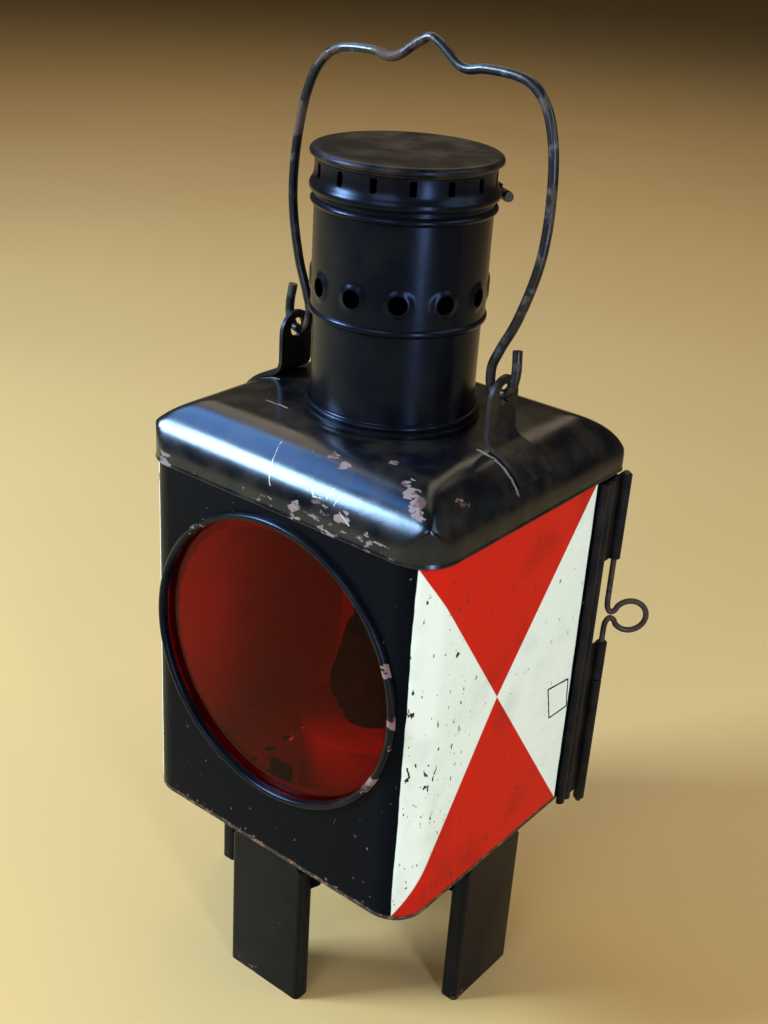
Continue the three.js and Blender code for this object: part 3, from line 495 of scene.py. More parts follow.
def roof_wear(tree, where):
    """The front seam, the front right hip and a few knocks are worn to the primer."""
    _, y, z = axes(tree, where)
    front = band(tree, y, -68, -73)
    seam = all_of(tree, [front, between(tree, z, 174, 182, 3), 0.8])
    return most(tree, [seam, knocks(tree, where, roof_knocks)])


def roof_marks(tree, where):
    """A few short dry scratches on the front slope, and the grey solder along the feet of the ears."""
    x, y, z = axes(tree, where)
    frayed = shifting(tree, where, 5, 3, 2.4)
    u = math(tree, "ADD", x, frayed)
    up_slope = math(tree, "MULTIPLY", math(tree, "ADD", z, y), slope_share)
    v = math(tree, "ADD", up_slope, frayed)
    lines = [stroke(tree, u, v, start, end, width) for start, end, width in roof_scratches]
    foot_y = math(tree, "ADD", y, frayed)
    solder = stroke(tree, math(tree, "ABSOLUTE", x), foot_y, (56, -12.2), (78, -13), 1.6)
    broken = band(tree, noise(tree, where, 2.0), 0.36, 0.46)
    lines.append(math(tree, "MULTIPLY", solder, 0.45))
    return math(tree, "MULTIPLY", most(tree, lines), broken)


def rim_wear(tree, where):
    return knocks(tree, where, rim_knocks)


def hole_wear(tree, where):
    """Rust where the bail has rubbed its ear."""
    _, y, z = axes(tree, where)
    away = length_of(tree, y, math(tree, "SUBTRACT", z, pivot_z))
    return band(tree, away, 9, 4)


def leg_wear(tree, where):
    """The lower ends of the sockets are rubbed by the irons."""
    _, _, z = axes(tree, where)
    return band(tree, z, -68, foot_z - 1)


# Paints
def worn_paint(
    name, base, gloss, primer, chips, chip_size, dust,
    wear=None, marks=None, grain=(0.6, 1, 1.2), shine=0.15, sheen=sky_sheen,
):
    """Brushed oil paint: soft orange-peel gloss, chips down to primer, more of them where it is knocked."""
    material, tree, shader, where = started(
        name, Specular_IOR_Level=shine, Specular_Tint=colour(sheen)
    )
    broad = noise(tree, where, 30, 4)
    fine = noise(tree, where, chip_size, 5, 0.62, grain)
    level = math(tree, "ADD", math(tree, "MULTIPLY", broad, 0.4), math(tree, "MULTIPLY", fine, 0.6))
    if wear:
        level = math(tree, "MULTIPLY_ADD", wear(tree, where), 0.16, level)
    edge = 0.72 - chips
    soft = 0.012
    bare = band(tree, level, edge, edge + soft)
    rim = math(tree, "SUBTRACT", band(tree, level, edge - soft, edge), bare, clamp=True)
    rusty = band(tree, noise(tree, where, 5), 0.5, 0.6)
    under = mixed(tree, rusty, primer, rust_brown)
    dusty = math(tree, "MULTIPLY", band(tree, noise(tree, where, 14, 5), 0.35, 0.7), dust)
    tone = mixed(tree, dusty, base, road_dust)
    tone = mixed(tree, math(tree, "MULTIPLY", rim, 0.5), tone, chip_rim)
    tone = mixed(tree, bare, tone, under)
    if marks:
        tone = mixed(tree, marks(tree, where), tone, solder_grey)
    link(tree, tone, shader, "Base Color")
    smear = math(tree, "ADD", shifting(tree, where, 24, 5, 0.2), gloss)
    dulled = math(tree, "ADD", smear, math(tree, "MULTIPLY", dusty, 0.3), clamp=True)
    link(tree, blended(tree, bare, dulled, 0.8), shader, "Roughness")
    peel = math(tree, "MULTIPLY", noise(tree, where, 2.6, 2), 0.3)
    dents = math(tree, "MULTIPLY", noise(tree, where, 26, 2), 1.8)
    depth = math(tree, "MULTIPLY", bare, 0.7)
    height = math(tree, "SUBTRACT", math(tree, "ADD", peel, dents), depth)
    bumped(tree, shader, height, 0.14, 0.45)
    return material


def inside_case(tree, x, y):
    """1 on what faces the inside of the case, 0 on what faces out; the corners bend with the case."""
    past_x = math(tree, "MAXIMUM", math(tree, "SUBTRACT", math(tree, "ABSOLUTE", x), corner_x), 0)
    past_y = math(tree, "MAXIMUM", math(tree, "SUBTRACT", corner_y, y), 0)
    mid_sheet = corner_radius - sheet / 2
    near = math(tree, "LESS_THAN", length_of(tree, past_x, past_y), mid_sheet)
    return math(tree, "MULTIPLY", near, math(tree, "LESS_THAN", y, rear_y - 0.5))


def tinned_inside(tree, shader, where, inner, paint, gloss):
    """Bare tinned sheet on the inner faces, paint on the outer ones."""
    tin = mixed(tree, noise(tree, where, 18, 5), tin_light, tin_stained)
    link(tree, mixed(tree, inner, paint, tin), shader, "Base Color")
    link(tree, blended(tree, inner, gloss, 0.55), shader, "Roughness")


def pan_paint():
    """Dull black pan under the case, with its tinned inner side seen through the glass."""
    material, tree, shader, where = started("pan_paint_and_tin")
    x, y, z = axes(tree, where)
    above = math(tree, "GREATER_THAN", z, sheet / 2)
    inner = math(tree, "MULTIPLY", inside_case(tree, x, y), above)
    rim = between(tree, z, 0, 2.2, 0.5)
    level = math(tree, "MULTIPLY_ADD", rim, 0.06, noise(tree, where, 2.6, 5, 0.62))
    paint = mixed(tree, band(tree, level, 0.6, 0.62), "141315", "5d4235")
    tinned_inside(tree, shader, where, inner, paint, 0.42)
    bumped(tree, shader, noise(tree, where, 5), 0.1, 0.4)
    return material


def pen_marks(tree, where, s, z, side):
    """A small drawn outline near the rail and a stray hook near the corner, on the right wall."""
    frayed = shifting(tree, where, 2.5, 2, 0.8)
    u = math(tree, "ADD", s, frayed)
    v = math(tree, "ADD", z, frayed)
    closed = drawn_outline + drawn_outline[:1]
    lines = [stroke(tree, u, v, a, b, 1.0) for a, b in zip(closed, closed[1:])]
    lines += [stroke(tree, u, v, a, b, 0.8) for a, b in zip(drawn_hook, drawn_hook[1:])]
    return math(tree, "MULTIPLY", most(tree, lines), side)


def hourglass(tree, s, z):
    """1 inside the two red triangles that meet at the middle of the wall."""
    from_middle = math(tree, "SUBTRACT", s, hourglass_y)
    soft = 0.25
    triangles = []
    for way, height in ((1, hourglass_up), (-1, hourglass_down)):
        rise = math(tree, "MULTIPLY", math(tree, "SUBTRACT", z, hourglass_z), way)
        to_front = math(tree, "DIVIDE", rise, height / hourglass_to_front)
        to_rear = math(tree, "DIVIDE", rise, height / hourglass_to_rear)
        past_front = math(tree, "ADD", from_middle, to_front)
        past_rear = math(tree, "SUBTRACT", to_rear, from_middle)
        sides = [band(tree, past, -soft, soft) for past in (past_front, past_rear)]
        triangles.append(all_of(tree, sides))
    return most(tree, triangles)


def round_the_corner(tree, x, y):
    """y along the side wall, going on round the front corner as the sheet is bent."""
    out_x = math(tree, "SUBTRACT", math(tree, "ABSOLUTE", x), corner_x)
    turn = math(tree, "ARCTAN2", math(tree, "SUBTRACT", y, corner_y), out_x)
    bend = math(tree, "MAXIMUM", math(tree, "MULTIPLY", turn, -1), 0)
    bent = math(tree, "MULTIPLY_ADD", bend, -corner_radius, corner_y)
    return blended(tree, math(tree, "LESS_THAN", y, corner_y), y, bent)


def signal_field(tree, where, x, s, z):
    """1 on the white and red field of each side wall, whose edges waver a little."""
    soft = 0.2
    edge_s = math(tree, "ADD", s, shifting(tree, where, 16, 2, 1.2))
    edge_z = math(tree, "ADD", z, shifting(tree, where, 9, 3, 3.0))
    return all_of(tree, [
        band(tree, edge_s, field_front - soft, field_front + soft),
        band(tree, edge_s, field_rear + soft, field_rear - soft),
        band(tree, edge_z, field_top + soft, field_top - soft),
        math(tree, "GREATER_THAN", math(tree, "ABSOLUTE", x), half_width - 10),
    ])


def side_signal_paint():
    """Gloss black front, and the red and white hourglass on each side wall, chipped and inked."""
    material, tree, shader, where = started(
        "side_signal_paint", Specular_IOR_Level=0.05, Specular_Tint=colour(sky_sheen)
    )
    x, y, z = axes(tree, where)
    s = round_the_corner(tree, x, y)
    painted = signal_field(tree, where, x, s, z)
    dirt = band(tree, noise(tree, where, 30, 5), 0.45, 0.75)
    white = mixed(tree, math(tree, "MULTIPLY", dirt, 0.35), "ccd3c8", "999f90")
    scarlet = mixed(tree, dirt, "b01c10", "941810")
    two = mixed(tree, hourglass(tree, s, z), white, scarlet)
    toward_front = band(tree, s, -18, -48)
    fleck = noise(tree, where, 3.0, 3, 0.55, (1, 1.3, 0.65))
    patchy = math(tree, "MULTIPLY_ADD", noise(tree, where, 26), 0.1, fleck)
    level = math(tree, "MULTIPLY_ADD", toward_front, 0.045, patchy)
    specks = band(tree, level, 0.752, 0.767)
    two = mixed(tree, specks, two, "3b2c24")
    inked = pen_marks(tree, where, s, z, math(tree, "GREATER_THAN", x, 0))
    two = mixed(tree, inked, two, "17171c")
    low_edge = math(tree, "MULTIPLY", between(tree, z, 0, 3, 2), 0.08)
    chip_level = math(tree, "ADD", noise(tree, where, 3.2, 5, 0.62), low_edge)
    chips = band(tree, chip_level, 0.685, 0.7)
    black = mixed(tree, chips, "05070b", "66544e")
    gloss = math(tree, "MULTIPLY_ADD", noise(tree, where, 20, 4), 0.2, 0.16)
    outer = mixed(tree, painted, black, two)
    tinned_inside(tree, shader, where, inside_case(tree, x, y), outer, gloss)
    thick = math(tree, "MULTIPLY", painted, 0.5)
    dents = math(tree, "MULTIPLY", noise(tree, where, 24, 2), 1.4)
    pits = math(tree, "MULTIPLY", math(tree, "MAXIMUM", specks, chips), 0.5)
    height = math(tree, "SUBTRACT", math(tree, "ADD", thick, dents), pits)
    bumped(tree, shader, height, 0.14, 0.5)
    return material


# Wire, glass, metal and wick
def wire_metal(name, base, rust_amount, gloss):
    """Drawn steel wire gone dark, brown with old rust in patches and rubbed bright in a few."""
    material, tree, shader, where = started(name, Metallic=0.25, Specular_IOR_Level=0.4)
    rust_edge = 0.52 - rust_amount
    rust = band(tree, noise(tree, where, 12, 5, 0.6), rust_edge, rust_edge + 0.14)
    rubbed = band(tree, noise(tree, where, 7, 4), 0.6, 0.7)
    steel = mixed(tree, rubbed, base, "343a42")
    link(tree, mixed(tree, rust, steel, "3a2a22"), shader, "Base Color")
    link(tree, blended(tree, rust, gloss, 0.75), shader, "Roughness")
    bumped(tree, shader, math(tree, "ADD", noise(tree, where, 1.8, 4), rust), 0.1, 0.6)
    return material


def ruby():
    """Ruby glass: deep red to look through, its wavy face shines faintly, and red light gets inside."""
    material, tree, shader, where = started(
        "ruby_glass", Roughness=0.0, IOR=1.2, Specular_Tint=colour("6a6a70"), Transmission_Weight=1.0
    )
    link(tree, mixed(tree, noise(tree, where, 60, 2), "cc1009", "bc0c06"), shader, "Base Color")
    bumped(tree, shader, noise(tree, where, 40, 2), 0.4, 0.15)
    clear = node(tree, "ShaderNodeBsdfTransparent", Color=colour("b81c14"))
    ray = node(tree, "ShaderNodeLightPath").outputs["Is Shadow Ray"]
    either = node(tree, "ShaderNodeMixShader", i0=ray, i1=shader.outputs[0], i2=clear.outputs[0])
    tree.links.new(either.outputs[0], tree.nodes["Material Output"].inputs[0])
    return material


def metal(name, base, second, gloss, metallic=1.0):
    """Plated or cast metal dulled by lamp smoke; tin that has gone matt and grey is hardly metallic."""
    material, tree, shader, where = started(name, Metallic=metallic)
    stain = noise(tree, where, 15, 5)
    link(tree, mixed(tree, stain, base, second), shader, "Base Color")
    link(tree, math(tree, "MULTIPLY_ADD", stain, 0.3, gloss - 0.1), shader, "Roughness")
    bumped(tree, shader, noise(tree, where, 4), 0.1, 0.4)
    return material


def woven_wick():
    """Flat cotton wick with a fine woven rib."""
    material, tree, shader, where = started("woven_wick", Roughness=0.95)
    rib = node(tree, "ShaderNodeTexWave", {"bands_direction": "X"}, Vector=where, Scale=0.5)
    link(tree, mixed(tree, noise(tree, where, 5), "d8cfb8", "a89a7c"), shader, "Base Color")
    bumped(tree, shader, rib.outputs[1], 0.2, 0.6)
    return material


# Each paint: name, colour, roughness, primer, share and size in mm of its chips, and dust
gloss_black = worn_paint("gloss_black_paint", "05070c", 0.24, "73605a", 0.02, 3.2, 0.03)
roof_black = worn_paint(
    "roof_black_paint", "05070c", 0.2, "6b5b56", 0.03, 3.2, 0.14,
    wear=roof_wear, marks=roof_marks, grain=(0.5, 1, 1.2), shine=0.4, sheen=roof_sheen,
)
rim_black = worn_paint("rim_black_paint", "06080d", 0.25, "6d5b55", 0.02, 3.0, 0.05, rim_wear)
lid_black = worn_paint("dusty_lid_paint", "0a0a0c", 0.3, "57453a", 0.05, 2.0, 0.25)
ear_black = worn_paint("worn_ear_paint", "0a0a0c", 0.36, "5f463a", 0.05, 2.4, 0.25, hole_wear)
rail_black = worn_paint("worn_rail_paint", "0c0b0c", 0.4, "5c463c", 0.05, 2.2, 0.12)
leg_black = worn_paint("worn_leg_paint", "08080a", 0.34, "5a443a", 0.03, 2.6, 0.03, leg_wear)
side_paint = side_signal_paint()
pan_finish = pan_paint()
bail_steel = wire_metal("dark_bail_wire", "0f1218", 0.0, 0.3)
latch_steel = wire_metal("brown_latch_wire", "1d1a19", 0.08, 0.42)
ruby_glass = ruby()
tin_plate = metal("tin_plate", "b9b9b2", "6f6c62", 0.35)
frosted_tin = metal("frosted_tin", "b0aca2", "969288", 0.55, metallic=0.1)
dull_brass = metal("dull_brass", "b08a45", "6d5228", 0.38)
smoked_brass = metal("smoked_brass", "3a2f22", "1c1813", 0.5)
wick_weave = woven_wick()


# Case and bottom
def case_shell():
    """Front and sides bent from one sheet, with a doorway behind and a round opening in front."""
    round_edge = lambda e: upright(e) and e.verts[0].co.y < axis_y
    low = (-half_width, front_y, case_low_z)
    high = (half_width, rear_y, case_high_z)
    bm = box_mesh(low, high, corner_radius, 14, round_edge)
    ends = [f for f in bm.faces if abs(f.normal.z) > 0.9]
    bmesh.ops.delete(bm, geom=ends, context="FACES_ONLY")
    bmesh.ops.recalc_face_normals(bm, faces=bm.faces)
    bmesh.ops.solidify(bm, geom=bm.faces[:], thickness=sheet * mm)
    shell = finish_mesh("case_sheet", bm)
    doorway, sill_z, head_z, reach = half_width - 9, 10.0, 167.4, 7.5
    carved(shell, box_mesh((-doorway, rear_y - reach, sill_z), (doorway, rear_y + reach, head_z)))
    through = [(0, front_y + side * reach, glass_z) for side in (-1, 1)]
    carved(shell, rod_mesh(opening_radius, *through, 160))
    settle(shell, side_paint, "case", "side_paint", "case_shell")


# Roof: arched both ways, with a soft hip at each corner
def arch(share, half):
    """Place and height across an arched sheet, for a share from -1 to 1 of its developed width."""
    flat = half - arch_radius
    reach = abs(share) * (flat + arch_radius * pi / 2)
    side = 1 if share >= 0 else -1
    if reach <= flat:
        return side * reach, roof_top_z
    turn = (reach - flat) / arch_radius
    return side * (flat + arch_radius * sin(turn)), roof_top_z - arch_radius * (1 - cos(turn))


def hip(a, b):
    """The height where two arched sheets meet, a little below their sharp corner."""
    softness = 3.4
    low = min(a, b)
    near = max(softness - abs(a - b), 0) / softness
    depth = min(1, (roof_top_z - low) / softness)
    return low - near * near * softness / 4 * depth


def rounded_corner(x, y, half_x, front, rear):
    """Draws a point near a corner of the roof in to the corner's round."""
    radius = 17.5 if y < 0 else 4.8
    edge_y = front + radius if y < 0 else rear - radius
    centre_x = (half_x - radius) * (1 if x >= 0 else -1)
    out_x, out_y = x - centre_x, y - edge_y
    reach = sqrt(out_x * out_x + out_y * out_y)
    if out_x * x > 0 and out_y * y > 0 and reach > radius:
        return centre_x + out_x * radius / reach, edge_y + out_y * radius / reach
    return x, y


def roof_sheet():
    """The pillow roof, with a rolled hem round its edge and a hole for the flue."""
    half_x, front, rear, thinner = 81.2, -75.2, 73.8, 0.9
    bm = bmesh.new()
    bmesh.ops.create_grid(bm, x_segments=96, y_segments=90, size=1)
    for v in bm.verts:
        x, z_across = arch(v.co.x, half_x)
        y, z_along = arch(v.co.y, (rear - front) / 2)
        x, y = rounded_corner(x, y + (rear + front) / 2, half_x, front, rear)
        v.co = place(x, y, hip(z_across, z_along))
    hem = ((1.0, 0), (0.35, 0.25), (0.9, 0.05), (0.25, -0.25))
    for drop, spread in hem:
        rim = [e for e in bm.edges if e.is_boundary]
        grown = bmesh.ops.extrude_edge_only(bm, edges=rim)["geom"]
        for v in [part for part in grown if isinstance(part, bmesh.types.BMVert)]:
            out = Vector((v.co.x - axis_x, v.co.y - axis_y, 0)).normalized()
            v.co += out * spread * mm - Vector((0, 0, drop * mm))
    bmesh.ops.recalc_face_normals(bm, faces=bm.faces)
    bmesh.ops.solidify(bm, geom=bm.faces[:], thickness=sheet * thinner * mm)
    roof = finish_mesh("roof_sheet", bm)
    through = [(0, 0, roof_top_z + side * 10) for side in (-1, 1)]
    carved(roof, rod_mesh(roof_hole_radius, *through, 128))
    settle(roof, roof_black, "case", "black_paint", "roof")


# Chimney
def bead(radius, low, high, proud, steps=8):
    """A rolled bead on a tube, from its lower to its upper end."""
    points = []
    for i in range(steps + 1):
        share = i / steps
        points.append((radius + proud * sin(pi * share) ** 0.7, low + (high - low) * share))
    return points


def chimney_flue():
    bm = spun(skin([(flue_radius, flue_low_z), (flue_radius, flue_high_z)]), 128)
    settle(finish_mesh("flue_tube", bm), gloss_black, "case", "black_paint", "chimney_flue")


def vent_bump(x, y, z):
    """How far the sheet is pressed out round the nearest vent hole, in mm."""
    pressed, lip_reach, slope_width = 0.85, 6.9, 2.9
    turn = (degrees(atan2(y, x)) - first_vent) % vent_step
    off = radians(min(turn, vent_step - turn))
    away = sqrt((off * stack_radius) ** 2 + (z - vent_z) ** 2)
    share = max(0, min(1, (lip_reach - away) / slope_width))
    return pressed * share * share * (3 - 2 * share)


def vent_cutter():
    cutter = bmesh.new()
    for i in range(vent_count):
        turn = radians(first_vent + i * vent_step)
        reaches = (stack_radius - 7, stack_radius + 7)
        ends = [(reach * cos(turn), reach * sin(turn), vent_z) for reach in reaches]
        add_mesh(cutter, rod_mesh(vent_radius, *ends, 36))
    return cutter


def chimney_stack():
    """The upper tube: a bead over the flue, a ring of pressed vents and a bead under the lid."""
    seam_end, rim_start, rim_end = stack_low_z + 3.4, 292.4, 296.0
    seam_proud, rim_proud = 0.9, 1.7
    vent_rows = [(stack_radius, seam_end + 0.2 + i * 0.75) for i in range(30)]
    plain_rows = [(stack_radius, 273.5 + i * 4.6) for i in range(5)]
    outer = bead(stack_radius, stack_low_z, seam_end, seam_proud) + vent_rows + plain_rows
    outer += bead(stack_radius, rim_start, rim_end, rim_proud, 10) + [(stack_radius, stack_high_z)]
    bm = spun(skin(outer), 240)
    for v in bm.verts:
        x, y, z = (v.co - origin) / mm
        push = vent_bump(x, y, z) / sqrt(x * x + y * y)
        v.co += Vector((x, y, 0)) * push * mm
    stack = finish_mesh("stack_tube", bm)
    carved(stack, vent_cutter())
    settle(stack, gloss_black, "case", "black_paint", "chimney_stack")


def foot_ring():
    """The turned ring that covers the seam between roof and flue."""
    low, inner = 203.6, roof_hole_radius
    profile = [(inner, low), (39.2, low), (39.2, low + 1.2), (38.6, low + 1.9), (37.9, low + 2.2)]
    profile += arc((37.4, low + 3.7), 1.25, -50, 120, 8)
    profile += [(inner, low + 5.1)]
    ring = finish_mesh("flue_foot_ring", spun(profile, 128))
    settle(ring, gloss_black, "case", "black_paint", "chimney_foot_ring")


# Lid
def lid_gallery():
    """The waisted band under the lid, with slots that let the draught in."""
    outer = [
        (38.7, 298.0), (39.5, 298.6), (39.8, 299.4), (39.8, 300.5), (39.5, 301.4), (39.0, 302.2),
        (38.5, 303.2), (38.15, 304.3), (37.9, 305.6), (37.8, 307.0), (37.8, 309.5), (37.9, 311),
    ]
    gallery = finish_mesh("lid_band", spun(skin(outer), 180))
    cutter = bmesh.new()
    low, high = (34, -1.5, 304.3), (42, 1.5, 310.3)
    for i in range(lid_slots):
        slot = box_mesh(low, high, 0.8, 3, lambda e: along(e, "x"))
        turn_mesh(slot, 2 * pi * i / lid_slots, "Z")
        add_mesh(cutter, slot)
    carved(gallery, cutter)
    settle(gallery, gloss_black, "lid", "black_paint", "lid_gallery")


def lid_cap():
    """The lid's flat plate with a rolled edge."""
    low, crown = 311.3, 315.9
    edge = [(38.0, low), (38.1, low + 0.5), (38.7, low + 1.1), (39.6, low + 1.6)]
    shoulder = arc((38.0, low + 2.3), 2.1, -20, 80, 12)
    top = [(36.0, crown - 0.25), (30, crown - 0.15), (20, crown - 0.05), (8, crown), (0, crown)]
    under = [(0, crown - 0.9), (20, crown - 1.0), (30, crown - 1.1), (35, crown - 1.4)]
    under += [(36.6, low + 2), (36.6, low)]
    bm = spun(edge + shoulder + top + under, 160)
    settle(finish_mesh("lid_plate", bm), lid_black, "lid", "worn_black", "lid_cap")


# Front glass and its rolled rim
def facing_front(profile):
    """A profile spun round the glass's axis; its heights run forwards from the front wall."""
    bm = spun(profile, 160)
    turn_mesh(bm, radians(90), "X")
    shift_mesh(bm, 0, front_y, glass_z)
    return bm


def lens_bezel():
    """The rolled rim that holds the glass from the front."""
    roll = arc((67.9, 1.3), 1.65, -8, 186, 18)
    profile = [(66.25, -0.9), (67.1, -0.9), (67.1, 0.1), (69.5, 0.1)] + roll
    rim = finish_mesh("glass_rim", facing_front(profile))
    settle(rim, rim_black, "case", "black_paint", "lens_bezel")


def lens_glass():
    """The red glass, flat behind and slightly bowed in front."""
    back, front, crown, radius, steps = -3.5, -0.3, 1.4, 68.4, 14
    shares = [1 - i / steps for i in range(steps + 1)]
    bow = [(radius * share, front - crown * share ** 2) for share in shares]
    glass = finish_mesh("red_glass", facing_front([(0, back), (radius, back)] + bow))
    settle(glass, ruby_glass, "case", "red_glass", "lens_glass")


# Ears and the bail
def bent_foot(bm):
    """The plate's lower end bent outwards in a soft curve and laid down along the arch of the roof."""
    bend, arch_x, arch_z, laid_radius = 7, 56.8, 178.9, 25.7
    foot_end = radians(56)
    flare, flare_height = 0.18, 18
    low = min(bm.faces, key=lambda f: f.calc_center_median().z)
    ring = list(low.edges) + list(low.verts)
    bmesh.ops.delete(bm, geom=[low], context="FACES_ONLY")
    plate_x = (ear_inner_x + ear_outer_x) / 2
    lean = asin((plate_x - arch_x + bend) / (laid_radius + bend))
    bent = bmesh.ops.spin(
        bm, geom=ring, cent=place(plate_x + bend, 0, ear_bend_z), axis=(0, 1, 0),
        angle=lean - pi / 2, steps=10,
    )["geom_last"]
    laid = bmesh.ops.spin(
        bm, geom=bent, cent=place(arch_x, 0, arch_z), axis=(0, 1, 0),
        angle=foot_end - lean, steps=12,
    )["geom_last"]
    bmesh.ops.holes_fill(bm, edges=[part for part in laid if isinstance(part, bmesh.types.BMEdge)])
    for v in bm.verts:
        below = ear_bend_z - (v.co.z - base_z) / mm
        share = max(0, min(1, below / flare_height))
        v.co.y = axis_y + (v.co.y - axis_y) * (1 + flare * share)


def ear(side):
    """A bent plate with a round top, in whose hole the bail swings."""
    name = "ear_right" if side > 0 else "ear_left"
    top_z, hole_radius = 233.6, 4.4
    top = lambda e: along(e, "x") and e.verts[0].co.z > place(0, 0, pivot_z).z
    low = (ear_inner_x, -ear_half_width, ear_bend_z)
    high = (ear_outer_x, ear_half_width, top_z)
    plate = finish_mesh("plate", box_mesh(low, high, ear_half_width - 0.05, 12, top))
    through = [(x, 0, pivot_z) for x in (ear_inner_x - 7, ear_outer_x + 7)]
    carved(plate, rod_mesh(hole_radius, *through, 40))
    bm = mesh_of(plate)
    bent_foot(bm)
    if side < 0:
        bmesh.ops.mirror(bm, geom=bm.faces[:], axis="X", matrix=Matrix.Translation(-origin))
        right = [v for v in bm.verts if v.co.x > axis_x]
        bmesh.ops.delete(bm, geom=right, context="VERTS")
    settle(finish_mesh(name + "_sheet", bm), ear_black, "case", "worn_black", name)


def bail():
    """The carrying wire: a bow with a raised peak, necked in above each ear and hooked up behind it."""
    bow = [
        (0, 1), (0.075, 0.985), (0.225, 0.936), (0.3, 0.927), (0.42, 0.936), (0.73, 0.922), (0.86, 0.87),
        (0.95, 0.77), (1, 0.6), (0.99, 0.42), (0.89, 0.23), (0.8, 0.13), (0.757, 0.065),
    ]
    hook = [(52.3, 0), (58.8, 0), (61.6, 3.69), (62.5, 9.5), (61.6, 19)]
    right = [(x * bail_half_width, z * bail_height) for x, z in bow] + hook
    left = [(-x, z) for x, z in right[:0:-1]]
    pivot = place(0, 0, pivot_z)
    lean = Matrix.Rotation(bail_lean, 3, "X")
    path = smooth_path([pivot + lean @ Vector((x * mm, 0, z * mm)) for x, z in left + right], 12)
    wire = wire_piece("bail_wire", path, bail_wire)
    settle(wire, bail_steel, "bail", "wire_steel", "bail")


# Rails, door and latch
def half_round(radius, y, cut_x):
    """A rib of the rail's band: the outer part of an upright rod."""
    rod_x = cut_x + 0.125
    bm = rod_mesh(radius, (rod_x, y, rail_low_z), (rod_x, y, rail_high_z))
    whole = bm.verts[:] + bm.edges[:] + bm.faces[:]
    cut = bmesh.ops.bisect_plane(
        bm, geom=whole, plane_co=place(cut_x, y, rail_low_z), plane_no=(1, 0, 0), clear_inner=True
    )
    bmesh.ops.holes_fill(bm, edges=[e for e in cut["geom_cut"] if isinstance(e, bmesh.types.BMEdge)])
    return bm


def rail(side):
    """The band with two ribs, and the rolled tubes that leave room for the hinge or the latch's eye."""
    name = "rail_right" if side > 0 else "rail_left"
    inner_x, outer_x, band_low_y, band_high_y, rib = 80.3, 81.3, 53.4, 64.1, 2.675
    right_spans = [(rail_low_z, 63.4), (64, 85), (door_gap_high, rail_high_z)]
    left_spans = [(rail_low_z, door_gap_low), (door_gap_high, rail_high_z)]
    bm = box_mesh((inner_x, band_low_y, rail_low_z), (outer_x, band_high_y, rail_high_z), 0.25)
    for y in (band_low_y + rib, band_low_y + 3 * rib):
        add_mesh(bm, half_round(rib, y, inner_x + 0.2))
    for low, high in right_spans if side > 0 else left_spans:
        add_mesh(bm, box_mesh((inner_x, 64.0, low), (outer_x - 0.1, hinge_y, high)))
        tube_low = -8.6 if low < 0 else low
        add_mesh(bm, tube_mesh(hinge_x, hinge_y, tube_low, high))
    if side < 0:
        for v in bm.verts:
            v.co.x = 2 * axis_x - v.co.x
    settle(finish_mesh(name + "_sheet", bm), rail_black, "case", "worn_black", name)


def door_panel():
    """The rear door: a folded edge, a pressed field in its middle and a hinge tube on its left."""
    half, inner_y, outer_y = 78.3, 69.0, 70.8
    bm = box_mesh((-half, inner_y, 3), (half, outer_y, 175), 0.5)
    back = max(bm.faces, key=lambda f: f.calc_area() if f.normal.y > 0.9 else 0)
    bmesh.ops.inset_region(bm, faces=[back], thickness=5.6 * mm, depth=0)
    bmesh.ops.inset_region(bm, faces=[back], thickness=0.4 * mm, depth=-sheet * mm)
    press = box_mesh((-52, 69.6, 31), (52, 71.5, 147), 14, 8, lambda e: along(e, "y"))
    rear = max(press.faces, key=lambda f: f.normal.y * f.calc_area())
    bevelled(press, rear.edges[:], 1.4, 4)
    add_mesh(bm, press)
    low, high = door_gap_low + 0.6, door_gap_high - 0.6
    add_mesh(bm, tube_mesh(-hinge_x, hinge_y, low, high))
    add_mesh(bm, box_mesh((-hinge_x, inner_y, low), (2 - half, inner_y + sheet, high)))
    settle(finish_mesh("door_sheet", bm), rail_black, "door", "worn_black", "door_panel")


def latch_wire():
    """The spring wire of the latch, with an eye bent out of its middle to pinch it by."""
    eye_reach, eye_radius, eye_steps = 11.6, 8, 14
    eye = []
    for i in range(eye_steps + 1):
        turn = pi * 0.9 * (1 - 2 * i / eye_steps)
        eye.append((eye_reach + cos(turn) * eye_radius, latch_eye_z + sin(turn) * eye_radius))
    bend = [(0, 107.5), (0.5, 103.9), (2.1, 101.7)]
    back = [(u, 2 * latch_eye_z - z) for u, z in reversed(bend)]
    spread = lambda u, z: place(hinge_x + u * cos(latch_turn), hinge_y + u * sin(latch_turn), z)
    middle = smooth_path([spread(u, z) for u, z in bend + eye + back], 6)
    path = [spread(0, 175.8), spread(0, 140)] + middle + [spread(0, 60), spread(0, -10.5)]
    wire = wire_piece("latch_spring_wire", path, latch_wire_size)
    settle(wire, latch_steel, "latch", "wire_steel", "latch_wire")


